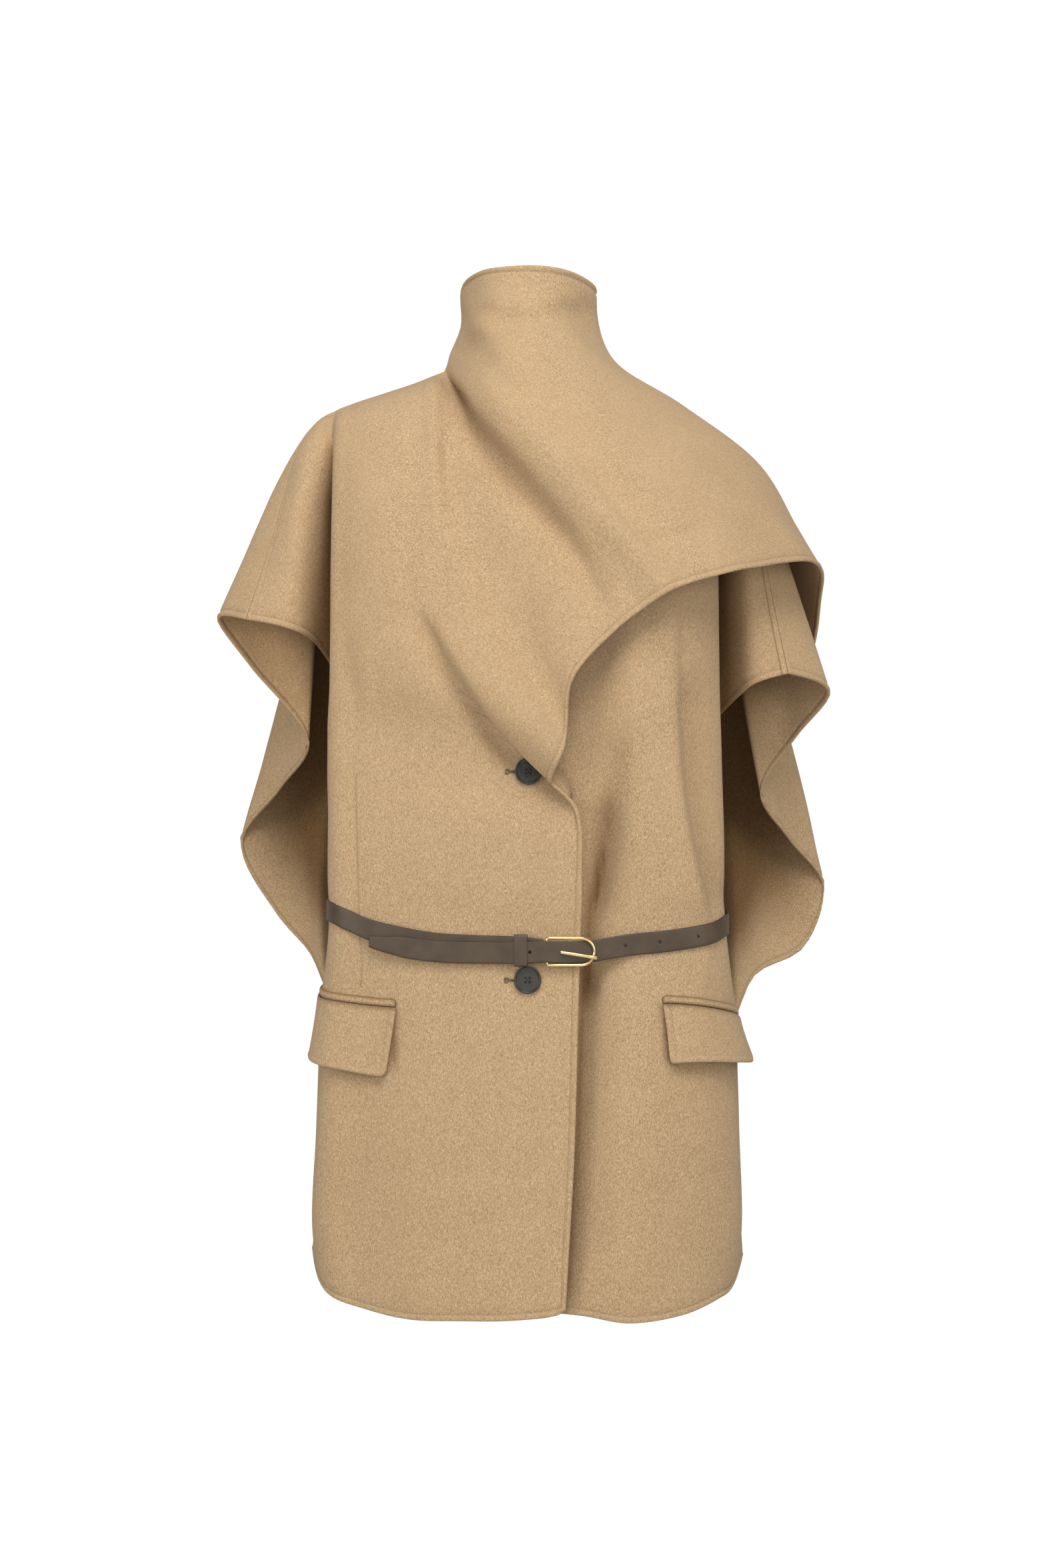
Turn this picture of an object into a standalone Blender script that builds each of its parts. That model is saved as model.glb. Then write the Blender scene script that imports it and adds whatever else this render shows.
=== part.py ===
"""A wool cape with a wrapped scarf collar, worn open inside, with its leather belt.

The right front carries the grown-on scarf. It crosses the left front, stands round the neck
and is thrown over the left shoulder. Front and back meet at the shoulder seams, which run on
down the wings over the arms, and at the side seams below the arm openings.

X points to the wearer's left, the wearer faces -Y, Z is up. The origin is the middle of the
neck at the height of the shoulders. Tables are in millimetres.
"""
import math
from collections import namedtuple

import bmesh
import bpy
import numpy as np
from mathutils import Matrix, Vector, geometry

MM = 0.001

# Cloth, leather and metal thicknesses
WALL = 2.4
SEAM_GAP = 0.4
STRAP_WALL = 2.2
WIRE_RADIUS = 1.45
PRONG_RADIUS = 1.65
CLEARANCE = 0.45
BELT_CLEARANCE = 1.0

# Pockets: where the flap starts and ends along the cloth from the side seam, the heights of
# its top at the side and in front, its depth in front and at the side, how far its front edge
# leans, the height of the welt above it, and how far its lower corners stand off and the whole
# flap lies clear
Pocket = namedtuple(
    "Pocket",
    "side_start side_end side_top front_top depth side_depth slant welt_height stand_front stand_side clear",
)
RIGHT_POCKET = Pocket(30, 149, -584, -592.5, 63.5, 58, -8, 8.0, 2.6, 7.0, 0.8)
LEFT_POCKET = Pocket(6, 158, -609, -588, 54, 39, -2, 8.0, 5.0, 12.0, 1.4)
FLAP_ROWS = 4
FLAP_CURL = 1.3
COLUMN_MARGIN = 0.1

# Buttons: the profile runs from the middle of the dished face over the rim to the back
BUTTON_PROFILE = (
    (0.0, 2.4), (9.4, 2.4), (10.4, 3.1), (11.5, 3.2), (12.4, 2.4), (12.2, 1.2), (10.4, 0.0), (0.0, 0.0),
)
BUTTON_RADIUS = 12.4
BUTTON_STEPS = 28
MERGED = 0.05
BUTTON_HOLE_RADIUS = 1.1
BUTTON_HOLE_SPREAD = 1.85
# A round piece rests on the spots round its middle, within this share of its radius
SEAT_SPOTS = 12
SEAT_REACH = 0.9
UPPER_BUTTON = (1.3, -377.0)
LOWER_BUTTON = (0.5, -566.4)

# Belt. A bearing is measured round the wearer from the front, in degrees, and grows towards
# the wearer's left. The belt's line gives the height of the strap's middle at each bearing.
STRAP_WIDTH = 19.8
BELT_LINE = (
    (-180, -505), (-135, -503), (-90, -502), (-68.5, -506), (-64, -512), (-58.7, -521.6),
    (-52, -527.4), (-39.5, -533.4), (0, -536.7), (12, -539.8), (27, -539.9), (33, -537.4),
    (41, -533.8), (50.7, -530.7), (60.9, -524.6), (67.8, -518), (90, -511), (135, -507), (180, -505),
)
BELT_MIDDLE = -525.0
BELT_SAMPLES = 8
HULL_SAMPLES = 60
BEARING_STEP = 2.0
FRONT_BEARING = 60.0
# The strap behind the arm openings, round the wearer: x and y of its inner face, one side
BELT_BEHIND = ((176, 14), (173, 34), (158, 62), (124, 82), (64, 90), (0, 92))

# The strap runs from its buckle end under the keeper, round the wearer to the buckle, over
# the bar and back over itself to its tip. Lift is the distance out from the cloth, and drop
# how far the tail hangs below the strap under it.
Strap = namedtuple("Strap", "bearing lift drop")
STRAP = (
    Strap(7.5, 2.1, 0), Strap(-7.0, 2.1, 0), Strap(-16.0, 0, 0), Strap(-332.0, 0, 0),
    Strap(-342.0, 3.2, 0), Strap(-351.0, 6.3, -0.4), Strap(-358.5, 5.2, -3.6),
    Strap(-367.0, 4.8, -5.2), Strap(-376.0, 2.7, -5.6), Strap(-399.5, 2.7, -6.8),
    Strap(-412.0, 2.7, -8.2), Strap(-418.7, 2.7, -10.4),
)
STRAP_SPACING = 3.5
CORNER_SPACING = 1.2
TIP_LENGTH = 32.0
TIP_TAPER = 0.46
STRAP_HOLE_RADIUS = 1.4
STRAP_HOLE_BEARINGS = (-321.0, -311.5, -302.5, -358.6)
DRILL_DEPTH = 12.0
DRILL_SEGMENTS = 12

# Keeper: where its middle is across, its width, wall, and inner height and depth
KEEPER_X = -5.6
KEEPER_WIDTH = 12.0
KEEPER_WALL = 1.3
KEEPER_TOP = -525.7
KEEPER_BOTTOM = -552.15
KEEPER_LIFTS = (1.4, 7.4)
KEEPER_CORNERS = (0.8, 2.0)
KEEPER_STEPS = (2, 3)

# Buckle: a rounded frame whose bar is behind the strap, and a prong resting on its end
BAR_X = 18.0
FRAME_END_X = 60.4
FRAME_HALF_HEIGHT = 12.2
FRAME_Z = -539.9
FRAME_LIFT = 4.3
FRAME_STEPS = 12
PRONG = ((31.0, -540.2, 8.6), (42.0, -541.9, 8.5), (53.0, -543.8, 8.1), (62.0, -545.3, 7.9))

# Each side's long seam between front and back, from the end of the wing over the arm, up to
# the shoulder's tip and on to the side of the neck. In the tables below, a number in place of
# a point is a distance along it from the tip, and is negative on the wing.
RIGHT_SEAM = ((-262, -35, -235), (-242, -26, -172), (-226, -16, -112), (-213.5, -8, -70),
              (-194, 1, -44), (-166, 3, -31), (-135, 8, -20), (-103, 13, -8.5), (-77, 15, 3))
LEFT_SEAM = ((243, -42, -288), (225, -32, -200), (214, -18, -132), (202, -7, -94),
             (183, 2, -66), (160, 4, -54), (132, 9, -38), (100, 13, -16), (74, 14, 4))
TIP = 4
SEAM_SAMPLES = 16

# The side seams, from the foot of the arm opening to the hem
Corner = namedtuple("Corner", "x y z")
RIGHT_SIDE = (Corner(-188.5, 15, -589), (-192.5, 15, -712), (-197.5, 15, -783), (-202, 15, -830))
LEFT_SIDE = (Corner(196, 15, -612), (197.5, 15, -712), (200, 15, -790), (203, 15, -836))

# Stations down the cloth. A row in a table is one fold line, and gives a point where its
# line crosses each station, or None where the curve may choose its own way.
Front = namedtuple("Front", "name seam neck yoke chest arm lapel point turn waist belt hip skirt low hem")
FRONT_STEPS = (3, 3, 3, 4, 2, 2, 1, 2, 2, 3, 4, 3, 2)
WING_END = [None] * 9
SCARF_END = [None] * 7

RIGHT_WING = (
    Front("seam", 0.0, -37.5, -84.0, -147.0, -213.0, *WING_END),
    Front("swell", 5.0, (-203, -24, -71), (-210, -36, -114), (-216, -44, -180), (-221, -46, -244),
          *WING_END),
    Front("trough", 10.0, (-192, -26, -71), (-194, -30, -113), (-197, -26, -185), (-199, -18, -257),
          *WING_END),
)

# The body of the right front: the hollow behind the side ridge, which is the arm opening's
# edge and then the side seam, the ridge, the tuck under the lapel's roll, and the roll,
# which runs on as the front edge.
RIGHT_BODY = (
    Front("hollow", 15.0, (-182, -20, -62), (-180, -12, -111), (-176, -4, -183),
          (-172, 0, -300), (-173, 0, -340), (-174, 1, -381), (-174, 3, -412), (-173, 7, -466),
          (-172, 10, -520), *RIGHT_SIDE),
    Front("ridge", 21.0, (-176, -26, -48), (-178, -50, -108), (-179, -63, -187),
          (-179, -68, -286), (-179, -70, -335), (-179, -72, -381), (-178, -73, -412), (-178, -74, -470),
          (-177, -72, -520), (-183, -62, -586), (-189, -57, -716), (-192, -55, -800), (-181, -60, -861)),
    Front("tuck", 99.0, (-98, -42, -27), (-103, -84, -118), (-108, -98, -199),
          (-68, -105, -296), (14, -102.5, -352), (40, -105, -390), (39, -109, -417), (40, -110, -476),
          (38, -107, -523), (37, -111, -580), (33, -119, -722), (30, -121, -812), (27, -123, -868.5)),
    Front("roll", 105.0, (-93, -43, -25), (-97, -85, -117), (-100, -100, -197),
          (-61, -115, -290), (-21, -123, -341), (23, -121, -386), (46, -115, -411), (50, -112, -475),
          (49, -109, -522), (47, -113, -580), (43, -122, -722), (38, -124, -812), (35, -126, -863)),
)
Between = namedtuple("Between", "share hem_sag")
BODY_BETWEEN = (Between(0.16, 8.0), Between(0.36, 12.6), Between(0.58, 9.8), Between(0.80, 6.5))
BODY_ROUNDING = 2.2

# The scarf's fold lines, from the side of the neck and the rim to its free edge
SCARF = (
    Front("roll_top", 110.0, (-87, -45, -25), (-83, -88, -116), (-61, -106, -198),
          (-22, -124, -282), (5, -134, -327), (29, -132, -366), *SCARF_END),
    Front("soft_valley", 115.0, (-80, -42, -27), (-68, -80, -112), (-34, -102, -188),
          (2, -117, -270), (22, -124, -312), (36, -130, -345), *SCARF_END),
    Front("soft_ridge", 119.5, (-71, -42, -33), (-45, -82, -106), (2, -112, -185),
          (30, -127, -252), None, (41, -136, -295), *SCARF_END),
    Front("valley", 126.0, (-47, -47, -43), (-3, -92, -110), (40, -117, -167),
          (70, -130, -221), None, (80, -137, -250), *SCARF_END),
    Front("lip", (-74.5, 15, 9), (-50, -71, -36), (0, -111, -94), (46, -127, -149),
          (85, -133, -195), None, (104, -138, -231), *SCARF_END),
    Front("crest", (-71.5, 15, 20), (-40, -79, -26), (16, -114, -78), (59, -130, -132),
          (99, -136, -178), None, (125, -139, -217), *SCARF_END),
    Front("flank", (-61, 15, 47), (-28, -77, -8), (32, -108, -66), (78, -124, -124),
          (118, -130, -170), None, (148, -133, -207), *SCARF_END),
    Front("rim_side", (-61, 15, 82), (-22, -72, 16), (44, -100, -56), (98, -116, -114),
          (140, -122, -162), None, (172, -125, -200), *SCARF_END),
    Front("rim_left", (-44, -25, 92), (-5, -70, 24), (60, -92, -46), (118, -105, -106),
          (160, -110, -156), None, (194, -113, -194), *SCARF_END),
    Front("rim_front", (-19, -46, 93), (15, -65, 32), (78, -80, -41), (140, -90, -98),
          (182, -94, -150), None, (214, -96, -190), *SCARF_END),
    Front("rim_middle", (9, -52, 93), (34, -54, 36), (98, -62, -36), (166, -67, -92),
          (208, -72, -146), None, (236, -74, -185), *SCARF_END),
    Front("rim_right", (37, -38, 91), (60, -28, 22), (122, -34, -31), (192, -38, -87),
          (234, -44, -143), None, (263, -46, -182), *SCARF_END),
    Front("shoulder", (62, 5, 84), (78, 10, 16), (147, 8, -31), (218, 4, -87),
          (254, 2, -147), None, (278, -6, -190), *SCARF_END),
    Front("behind", (58, 38, 81), (71, 48, 18), (148, 50, -36), (214, 48, -92),
          (255, 44, -155), None, (280, 36, -213), *SCARF_END),
    Front("blade", (36, 62, 80), (46, 84, 20), (128, 94, -44), (203, 92, -117),
          (248, 84, -190), None, (276, 76, -262), *SCARF_END),
    Front("fall", (8, 74, 80), (12, 98, 30), (95, 124, -58), (162, 134, -150),
          (207, 132, -250), None, (240, 122, -352), *SCARF_END),
    Front("corner", (-4, 74, 80), (0, 101, 24), (72, 132, -72), (124, 144, -170),
          (168, 148, -280), None, (200, 142, -395), *SCARF_END),
    Front("end", (-14, 72, 80), (-10, 100, 20), (48, 138, -84), (86, 150, -185),
          (116, 153, -285), None, (140, 150, -372), *SCARF_END),
)
RIGHT_COLUMNS = (2, 2, 2, 2, 2, 1, 1, 1, 2, 2) + (2, 2, 1, 1, 1, 2, 1, 1, 2, 1, 1, 2, 2, 2, 2, 2, 1, 1)
BODY_START = 6
BODY_END = 17
TUCK_COLUMN = 9

Left = namedtuple("Left", "name seam yoke chest wing button waist belt hip skirt low hem")
LEFT_STEPS = (4, 3, 4, 3, 3, 2, 3, 4, 3, 2)
LEFT_WING_END = [None] * 7

# The left front, from its covered edge to the ridge at its side and the wing over the arm
LEFT_BODY = (
    Left("edge", (-18, -54, -80), (-24, -64, -118), (-30, -82, -190), (-30, -92, -300), (-30, -92, -385),
         (-30, -92, -472), (-30, -91, -522), (-30, -94, -590), (-28, -102, -720), (-26, -104, -805),
         (-24, -105, -862)),
    Left("under", (20, -48, -54), (18, -74, -118), (15, -92, -190), (14, -96, -300), (12, -95, -385),
         (14, -94, -470), (14, -93, -522), (14, -97, -589), (12, -105, -720), (12, -107, -806),
         (12, -110, -868)),
    Left("shade", (50, -30, -22), (56, -82, -118), (60, -103, -190), (62, -101, -300), (58, -96, -385),
         (62, -92, -470), (60, -94, -522), (60, -97, -588), (56, -105, -720), (54, -108, -808),
         (52, -112, -871)),
    Left("front", 130.0, (95, -86, -118), (98, -108, -190), (100, -114, -300), (98, -112, -385),
         (98, -108, -470), (98, -104, -520), (98, -110, -590), (94, -118, -722), (92, -120, -810),
         (92, -120, -876)),
    Left("pleat", 84.0, (130, -76, -118), (134, -100, -190), (134, -104, -300),
         (139, -104, -385), (153, -102, -470), (160, -94, -518), (150, -98, -596), (140, -104, -720),
         (142, -104, -806), (142, -104, -871)),
    Left("side", 48.0, (155, -60, -118), (158, -82, -190), (156, -90, -300), (158, -92, -385),
         (167, -92, -470), (171, -86, -517), (172, -82, -598), (172, -84, -718), (176, -82, -803),
         (175, -76, -861)),
    Left("ridge", 18.0, (175, -42, -118), (174, -58, -190), (175, -64, -300), (177, -70, -385),
         (180, -74, -470), (180, -73, -517), (186, -62, -590), (191, -57, -716), (194, -55, -800),
         (187, -50, -857)),
    Left("hollow", 13.0, (178, -10, -118), (173, -4, -190), (169, -2, -335), (170, 0, -385),
         (171, 8, -466), (172, 10, -520), *LEFT_SIDE),
)
LEFT_WING = (
    Left("trough", 8.5, (190, -18, -118), (192, -24, -200), (199, -24, -306), *LEFT_WING_END),
    Left("swell", 4.5, (200, -26, -118), (206, -40, -190), (214, -46, -294), *LEFT_WING_END),
    Left("seam", 0.0, -57.0, -133.0, -235.0, *LEFT_WING_END),
)
LEFT_COLUMNS = (2, 2, 2, 2, 1, 2, 2, 2, 2, 2)
LEFT_BODY_END = 13

Back = namedtuple("Back", "name seam nape blade waist_top loin hip skirt low hem")
BACK_STEPS = (4, 4, 5, 4, 4, 4, 3, 2)
BACK_WING_END = [None] * 3

# The back's wings: each free edge falls in a cascade, from the tip at the end of the wing's
# seam in to the nose, out to the widest point and in again to the side seam.
BACK_RIGHT_WING = (
    Back("seam", 0.0, -38.0, -84.0, -147.0, None, -213.0, *BACK_WING_END),
    Back("tip", 4.0, (-216, 6, -72), (-240, 7, -115), (-265, 6, -172), None, (-292, 4, -233),
         *BACK_WING_END),
    Back("fall", 9.5, (-206, 22, -75), (-224, 32, -130), (-244, 38, -200), None, (-265, 40, -276),
         *BACK_WING_END),
    Back("nose", 15.5, (-192, 26, -80), (-198, 32, -150), (-203, 34, -240), None, (-210, 50, -350),
         *BACK_WING_END),
    Back("return", 23.0, (-185, 40, -82), (-200, 62, -165), (-218, 70, -275), None, (-238, 76, -392),
         *BACK_WING_END),
    Back("widest", 31.0, (-180, 50, -78), (-204, 84, -170), (-237, 99, -295), None, (-280, 106, -449),
         *BACK_WING_END),
    Back("under", 43.0, (-166, 56, -68), (-187, 107, -175), (-206, 122, -325), (-235, 120, -440),
         (-245, 98, -515), *BACK_WING_END),
    Back("tuck", 52.0, (-157, 58, -62), (-179, 112, -180), (-196, 124, -340), (-214, 112, -465),
         (-211, 66, -551), *BACK_WING_END),
)
BACK_BODY = (
    Back("side_right", 61.0, (-147, 60, -56), (-169, 115, -185), (-186, 124, -350),
         (-200, 98, -480), *RIGHT_SIDE),
    Back("right", 84.0, (-122, 66, -48), (-140, 122, -190), (-158, 132, -350),
         (-172, 124, -485), (-182, 72, -588), (-186, 70, -715), (-188, 72, -798), (-176, 72, -855)),
    Back("right_fold", 105.0, (-94, 74, -42), (-104, 128, -195), (-120, 137, -350),
         (-134, 134, -488), (-142, 112, -589), (-146, 110, -716), (-148, 112, -806), (-142, 112, -870)),
    Back("neck_right", 126.0, (-66, 82, -40), (-68, 131, -198), (-76, 132, -350),
         (-84, 130, -490), (-90, 122, -590), (-92, 122, -718), (-94, 124, -808), (-92, 124, -874)),
    Back("neck_low_right", (-44, 66, 10), (-38, 96, -40), (-34, 133, -198), (-36, 138, -350),
         (-40, 136, -490), (-44, 130, -590), (-46, 130, -718), (-46, 132, -808), (-46, 132, -875)),
    Back("middle", (0, 84, 12), (0, 104, -40), (2, 132, -198), (4, 132, -350),
         (4, 130, -490), (2, 126, -590), (2, 124, -718), (2, 126, -808), (2, 126, -875)),
    Back("neck_low_left", (44, 66, 9), (38, 96, -42), (38, 133, -198), (42, 137, -350),
         (48, 136, -490), (48, 130, -590), (50, 131, -718), (50, 133, -808), (50, 133, -875)),
    Back("neck_left", 130.0, (66, 82, -46), (74, 129, -198), (84, 131, -350),
         (92, 128, -490), (94, 122, -590), (96, 121, -718), (98, 122, -808), (98, 122, -874)),
    Back("left_fold", 98.0, (94, 74, -52), (108, 126, -200), (126, 137, -350),
         (140, 134, -488), (146, 112, -592), (150, 111, -716), (152, 113, -806), (144, 113, -870)),
    Back("left", 78.0, (120, 66, -62), (142, 119, -200), (162, 131, -350),
         (176, 124, -485), (186, 72, -600), (189, 70, -715), (191, 72, -800), (180, 72, -857)),
    Back("side_left", 58.0, (143, 60, -72), (167, 113, -202), (190, 123, -352),
         (202, 100, -485), *LEFT_SIDE),
)
BACK_LEFT_WING = (
    Back("tuck", 49.0, (154, 58, -78), (177, 110, -202), (202, 123, -345),
         (224, 114, -475), (222, 62, -571), *BACK_WING_END),
    Back("under", 41.0, (163, 56, -84), (187, 105, -202), (214, 121, -340),
         (248, 120, -460), (271, 94, -547), *BACK_WING_END),
    Back("widest", 30.0, (178, 50, -96), (208, 84, -202), (250, 98, -325), None,
         (291, 106, -491), *BACK_WING_END),
    Back("return", 22.5, (180, 40, -104), (198, 62, -195), (222, 70, -315), None,
         (253, 80, -441), *BACK_WING_END),
    Back("nose", 15.0, (188, 26, -106), (196, 28, -185), (205, 26, -292), None,
         (225, 50, -398), *BACK_WING_END),
    Back("fall", 9.0, (202, 22, -106), (222, 31, -170), (240, 36, -250), None,
         (257, 37, -344), *BACK_WING_END),
    Back("tip", 4.0, (212, 5, -104), (236, 6, -156), (261, 6, -228), None,
         (285, 3, -303), *BACK_WING_END),
    Back("seam", 0.0, -36.0, -79.0, -148.0, None, -235.0, *BACK_WING_END),
)
BACK_COLUMNS = (1, 2, 2, 2, 2, 2, 1, 1) + (2, 2, 2, 2, 2, 2, 2, 2, 2, 2) + (1, 1, 2, 2, 2, 2, 2, 1)

# The stand round the back of the neck, from just inside the neckline up to the rim
Stand = namedtuple("Stand", "name neckline middle rim")
STAND_STEPS = (4, 4)
BACK_COLLAR = (
    Stand("right_seam", (-75.5, 16, 8), (-61.5, 16, 47), (-61, 16, 82)),
    Stand("right", (-69, 37, 9.8), (-56, 36, 46), (-54.5, 36, 82)),
    Stand("back_right", (-43.5, 65.5, 12.6), (-35, 61, 46), (-34, 60, 81)),
    Stand("back", (0, 83.5, 15), (0, 71, 46), (0, 66, 80)),
    Stand("back_left", (43.5, 65.5, 12.2), (35, 58, 46), (32, 57, 80)),
    Stand("left", (66, 36, 10), (56, 28, 46), (52, 30, 80)),
    Stand("left_end", (60, -14, 8), (54, -14, 46), (50, -12, 80)),
)
COLLAR_COLUMNS = (2, 3, 3, 3, 3, 3)


def curve(points, counts):
    """Points along a smooth curve through the given ones, with counts[i] steps between two."""
    points = np.asarray(points, float)
    if len(points) == 2:
        share = np.linspace(0, 1, counts[0] + 1)[:, None]
        return points[0] * (1 - share) + points[1] * share
    gaps = np.sqrt(np.linalg.norm(np.diff(points, axis=0), axis=1))[:, None]
    slopes = np.diff(points, axis=0) / gaps
    tangents = np.empty_like(points)
    tangents[1:-1] = (slopes[:-1] * gaps[1:] + slopes[1:] * gaps[:-1]) / (gaps[1:] + gaps[:-1])
    tangents[0] = 1.5 * slopes[0] - 0.5 * tangents[1]
    tangents[-1] = 1.5 * slopes[-1] - 0.5 * tangents[-2]
    found = [points[:1]]
    for i, count in enumerate(counts):
        t = (np.arange(count) + 1)[:, None] / count
        start = (2 * t**3 - 3 * t**2 + 1) * points[i] + (t**3 - 2 * t**2 + t) * gaps[i] * tangents[i]
        end = (3 * t**2 - 2 * t**3) * points[i + 1] + (t**3 - t**2) * gaps[i] * tangents[i + 1]
        found.append(start + end)
    return np.concatenate(found)


def seam_point(seam, distance, away):
    """The point of a seam this far from its tip, moved away from the panel across it."""
    path = curve(seam, [SEAM_SAMPLES] * (len(seam) - 1))
    along = np.concatenate([[0], np.cumsum(np.linalg.norm(np.diff(path, axis=0), axis=1))])
    along -= along[SEAM_SAMPLES * TIP]
    x, y, z = (np.interp(distance, along, path[:, k]) for k in range(3))
    return np.array((x, y + away, z))


def fold_line(cells, steps, seam, away):
    """Points down one fold line. A cell is a point, a distance along the seam, None inside the
    line or past its end, or a Corner, from which the line is the side seam."""
    given = [i for i, cell in enumerate(cells) if cell is not None]
    stations = np.concatenate([[0], np.cumsum(steps)])
    counts = [stations[b] - stations[a] for a, b in zip(given, given[1:])]
    cells = [cells[i] for i in given]
    if all(isinstance(cell, float) for cell in cells):
        distances = np.interp(np.arange(stations[given[-1]] + 1), stations[given], cells)
        return np.array([seam_point(seam, distance, away) for distance in distances])
    points = [seam_point(seam, cell, away) if isinstance(cell, float) else cell for cell in cells]
    corners = [i for i, cell in enumerate(cells) if isinstance(cell, Corner)]
    if not corners:
        return curve(points, counts)
    corner = corners[0]
    side = curve(points[corner:], counts[corner:]) + (0, away, 0)
    above = curve([*points[:corner], side[0]], counts[:corner])
    return np.concatenate([above, side[1:]])


def loft(rows, steps, columns, seam=None, away=0.0):
    """A grid of points through a table's fold lines. Past a short line's end it holds NaN."""
    lines = [fold_line(row[1:], steps, seam, away) for row in rows]
    starts = np.concatenate([[0], np.cumsum(columns)])
    grid = np.full((sum(steps) + 1, starts[-1] + 1, 3), np.nan)
    for i in range(len(grid)):
        present = [k for k, line in enumerate(lines) if len(line) > i]
        first, last = present[0], present[-1]
        across = curve([lines[k][i] for k in present], columns[first:last])
        grid[i, starts[first]:starts[last] + 1] = across
    for k, (a, b) in enumerate(zip(rows, rows[1:])):
        if isinstance(a[1], float) and isinstance(b[1], float):
            for j, distance in enumerate(np.linspace(a[1], b[1], columns[k] + 1)):
                grid[0, starts[k] + j] = seam_point(seam, distance, away)
    return grid


def between(ridge, tuck, share, eased):
    """A cell between two cells, with its depth eased."""
    if isinstance(ridge, float):
        return ridge + (tuck - ridge) * share
    x, z = (ridge[i] + (tuck[i] - ridge[i]) * share for i in (0, 2))
    return (x, ridge[1] + (tuck[1] - ridge[1]) * eased, z)


def body_between(ridge, tuck):
    """The fold lines across the right front's body, rounded from the ridge to the tuck."""
    rows = []
    for share, hem_sag in BODY_BETWEEN:
        eased = 1 - (1 - share) ** BODY_ROUNDING
        cells = [between(a, b, share, eased) for a, b in zip(ridge[1:], tuck[1:])]
        x, y, z = cells[-1]
        cells[-1] = (x, y, z - hem_sag)
        rows.append(Front(f"front_{share}", *cells))
    return rows


def right_front_grid():
    hollow, ridge, tuck, roll = RIGHT_BODY
    rows = [*RIGHT_WING, hollow, ridge, *body_between(ridge, tuck), tuck, roll, *SCARF]
    return loft(rows, FRONT_STEPS, RIGHT_COLUMNS, RIGHT_SEAM, -SEAM_GAP / 2)


def left_front_grid():
    return loft([*LEFT_BODY, *LEFT_WING], LEFT_STEPS, LEFT_COLUMNS, LEFT_SEAM, -SEAM_GAP / 2)


def back_grid():
    """Both halves of the back: they share the middle fold line, where they are joined up."""
    middle = BACK_BODY.index(next(row for row in BACK_BODY if row.name == "middle"))
    right = [*BACK_RIGHT_WING, *BACK_BODY[:middle + 2]]
    left = [*BACK_BODY[middle - 1:], *BACK_LEFT_WING]
    split = len(right) - 2
    right_columns = BACK_COLUMNS[:len(right) - 1]
    left_columns = BACK_COLUMNS[split - 1:]
    right_half = loft(right, BACK_STEPS, right_columns, RIGHT_SEAM, SEAM_GAP / 2)
    left_half = loft(left, BACK_STEPS, left_columns, LEFT_SEAM, SEAM_GAP / 2)
    keep = sum(right_columns) - right_columns[-1]
    return np.concatenate([right_half[:, :keep + 1], left_half[:, left_columns[0] + 1:]], axis=1)


def collar_grid():
    return loft(BACK_COLLAR, STAND_STEPS, COLLAR_COLUMNS)


def at_height(line, z):
    """Where a fold line crosses a height."""
    line = line[~np.isnan(line[:, 0])][::-1]
    return np.array([np.interp(z, line[:, 2], line[:, k]) for k in range(3)])


def section(panel, z):
    """A panel's points at a height, and how far each is from the first, measured level."""
    points = np.array([at_height(line, z) for line in panel])
    along = np.concatenate([[0], np.cumsum(np.linalg.norm(np.diff(points[:, :2], axis=0), axis=1))])
    return points, along


def on_panel(panel, column, z, out, side):
    """The point of a panel at this column and height, moved out level. Side is -1 on the right."""
    points, _ = section(panel, z)
    places = np.arange(len(points))
    point, ahead, behind = (
        np.array([np.interp(column + step, places, points[:, k]) for k in (0, 1)]) for step in (0, 0.5, -0.5)
    )
    dx, dy = (ahead - behind) / np.linalg.norm(ahead - behind)
    return (point[0] - out * dy * side, point[1] + out * dx * side, z)


def pocket_line(pocket, across):
    """The height of a flap's top at a share of the way from the side to the front."""
    return pocket.side_top + (pocket.front_top - pocket.side_top) * across * across * (3 - 2 * across)


def pocket_grid(panel, pocket, side, depth, rows, hangs):
    """A strip of cloth lying on a panel, from the pocket's top line down by depth. The lower
    edge of a piece that hangs stands off the panel."""
    shares = np.linspace(0, 1, rows + 1)
    ends = []
    for share in shares:
        _, along = section(panel, pocket.side_top - depth * share)
        end = pocket.side_end + pocket.slant * share * depth / pocket.depth
        ends.append(np.interp((pocket.side_start, end), along, np.arange(len(along))))
    ends = np.array(ends)
    low, high = ends[:, 0].max() + COLUMN_MARGIN, ends[:, 1].min() - COLUMN_MARGIN
    whole = np.arange(math.ceil(low), math.floor(high) + 1)
    inner = np.unique(np.concatenate([whole, whole[:-1] + 0.5]))
    grid = np.empty((rows + 1, len(inner) + 2, 3))
    for i, (share, (first, last)) in enumerate(zip(shares, ends)):
        for j, column in enumerate([first, *inner, last]):
            across = (column - first) / (last - first)
            shorter = hangs * (1 - pocket.side_depth / pocket.depth) * (1 - across)
            height = pocket_line(pocket, across) - depth * share * (1 - shorter)
            stand = hangs * (pocket.stand_side + (pocket.stand_front - pocket.stand_side) * across)
            out = WALL + pocket.clear + stand * share**FLAP_CURL
            grid[i, j] = on_panel(panel, column, height, out, side)
    return grid


def belt_height(bearing):
    path = curve(BELT_LINE, [BELT_SAMPLES] * (len(BELT_LINE) - 1))
    return np.interp((bearing + 180) % 360 - 180, path[:, 0], path[:, 1])


def bearing_of(points):
    return np.degrees(np.arctan2(points[:, 0], -points[:, 1]))


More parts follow.
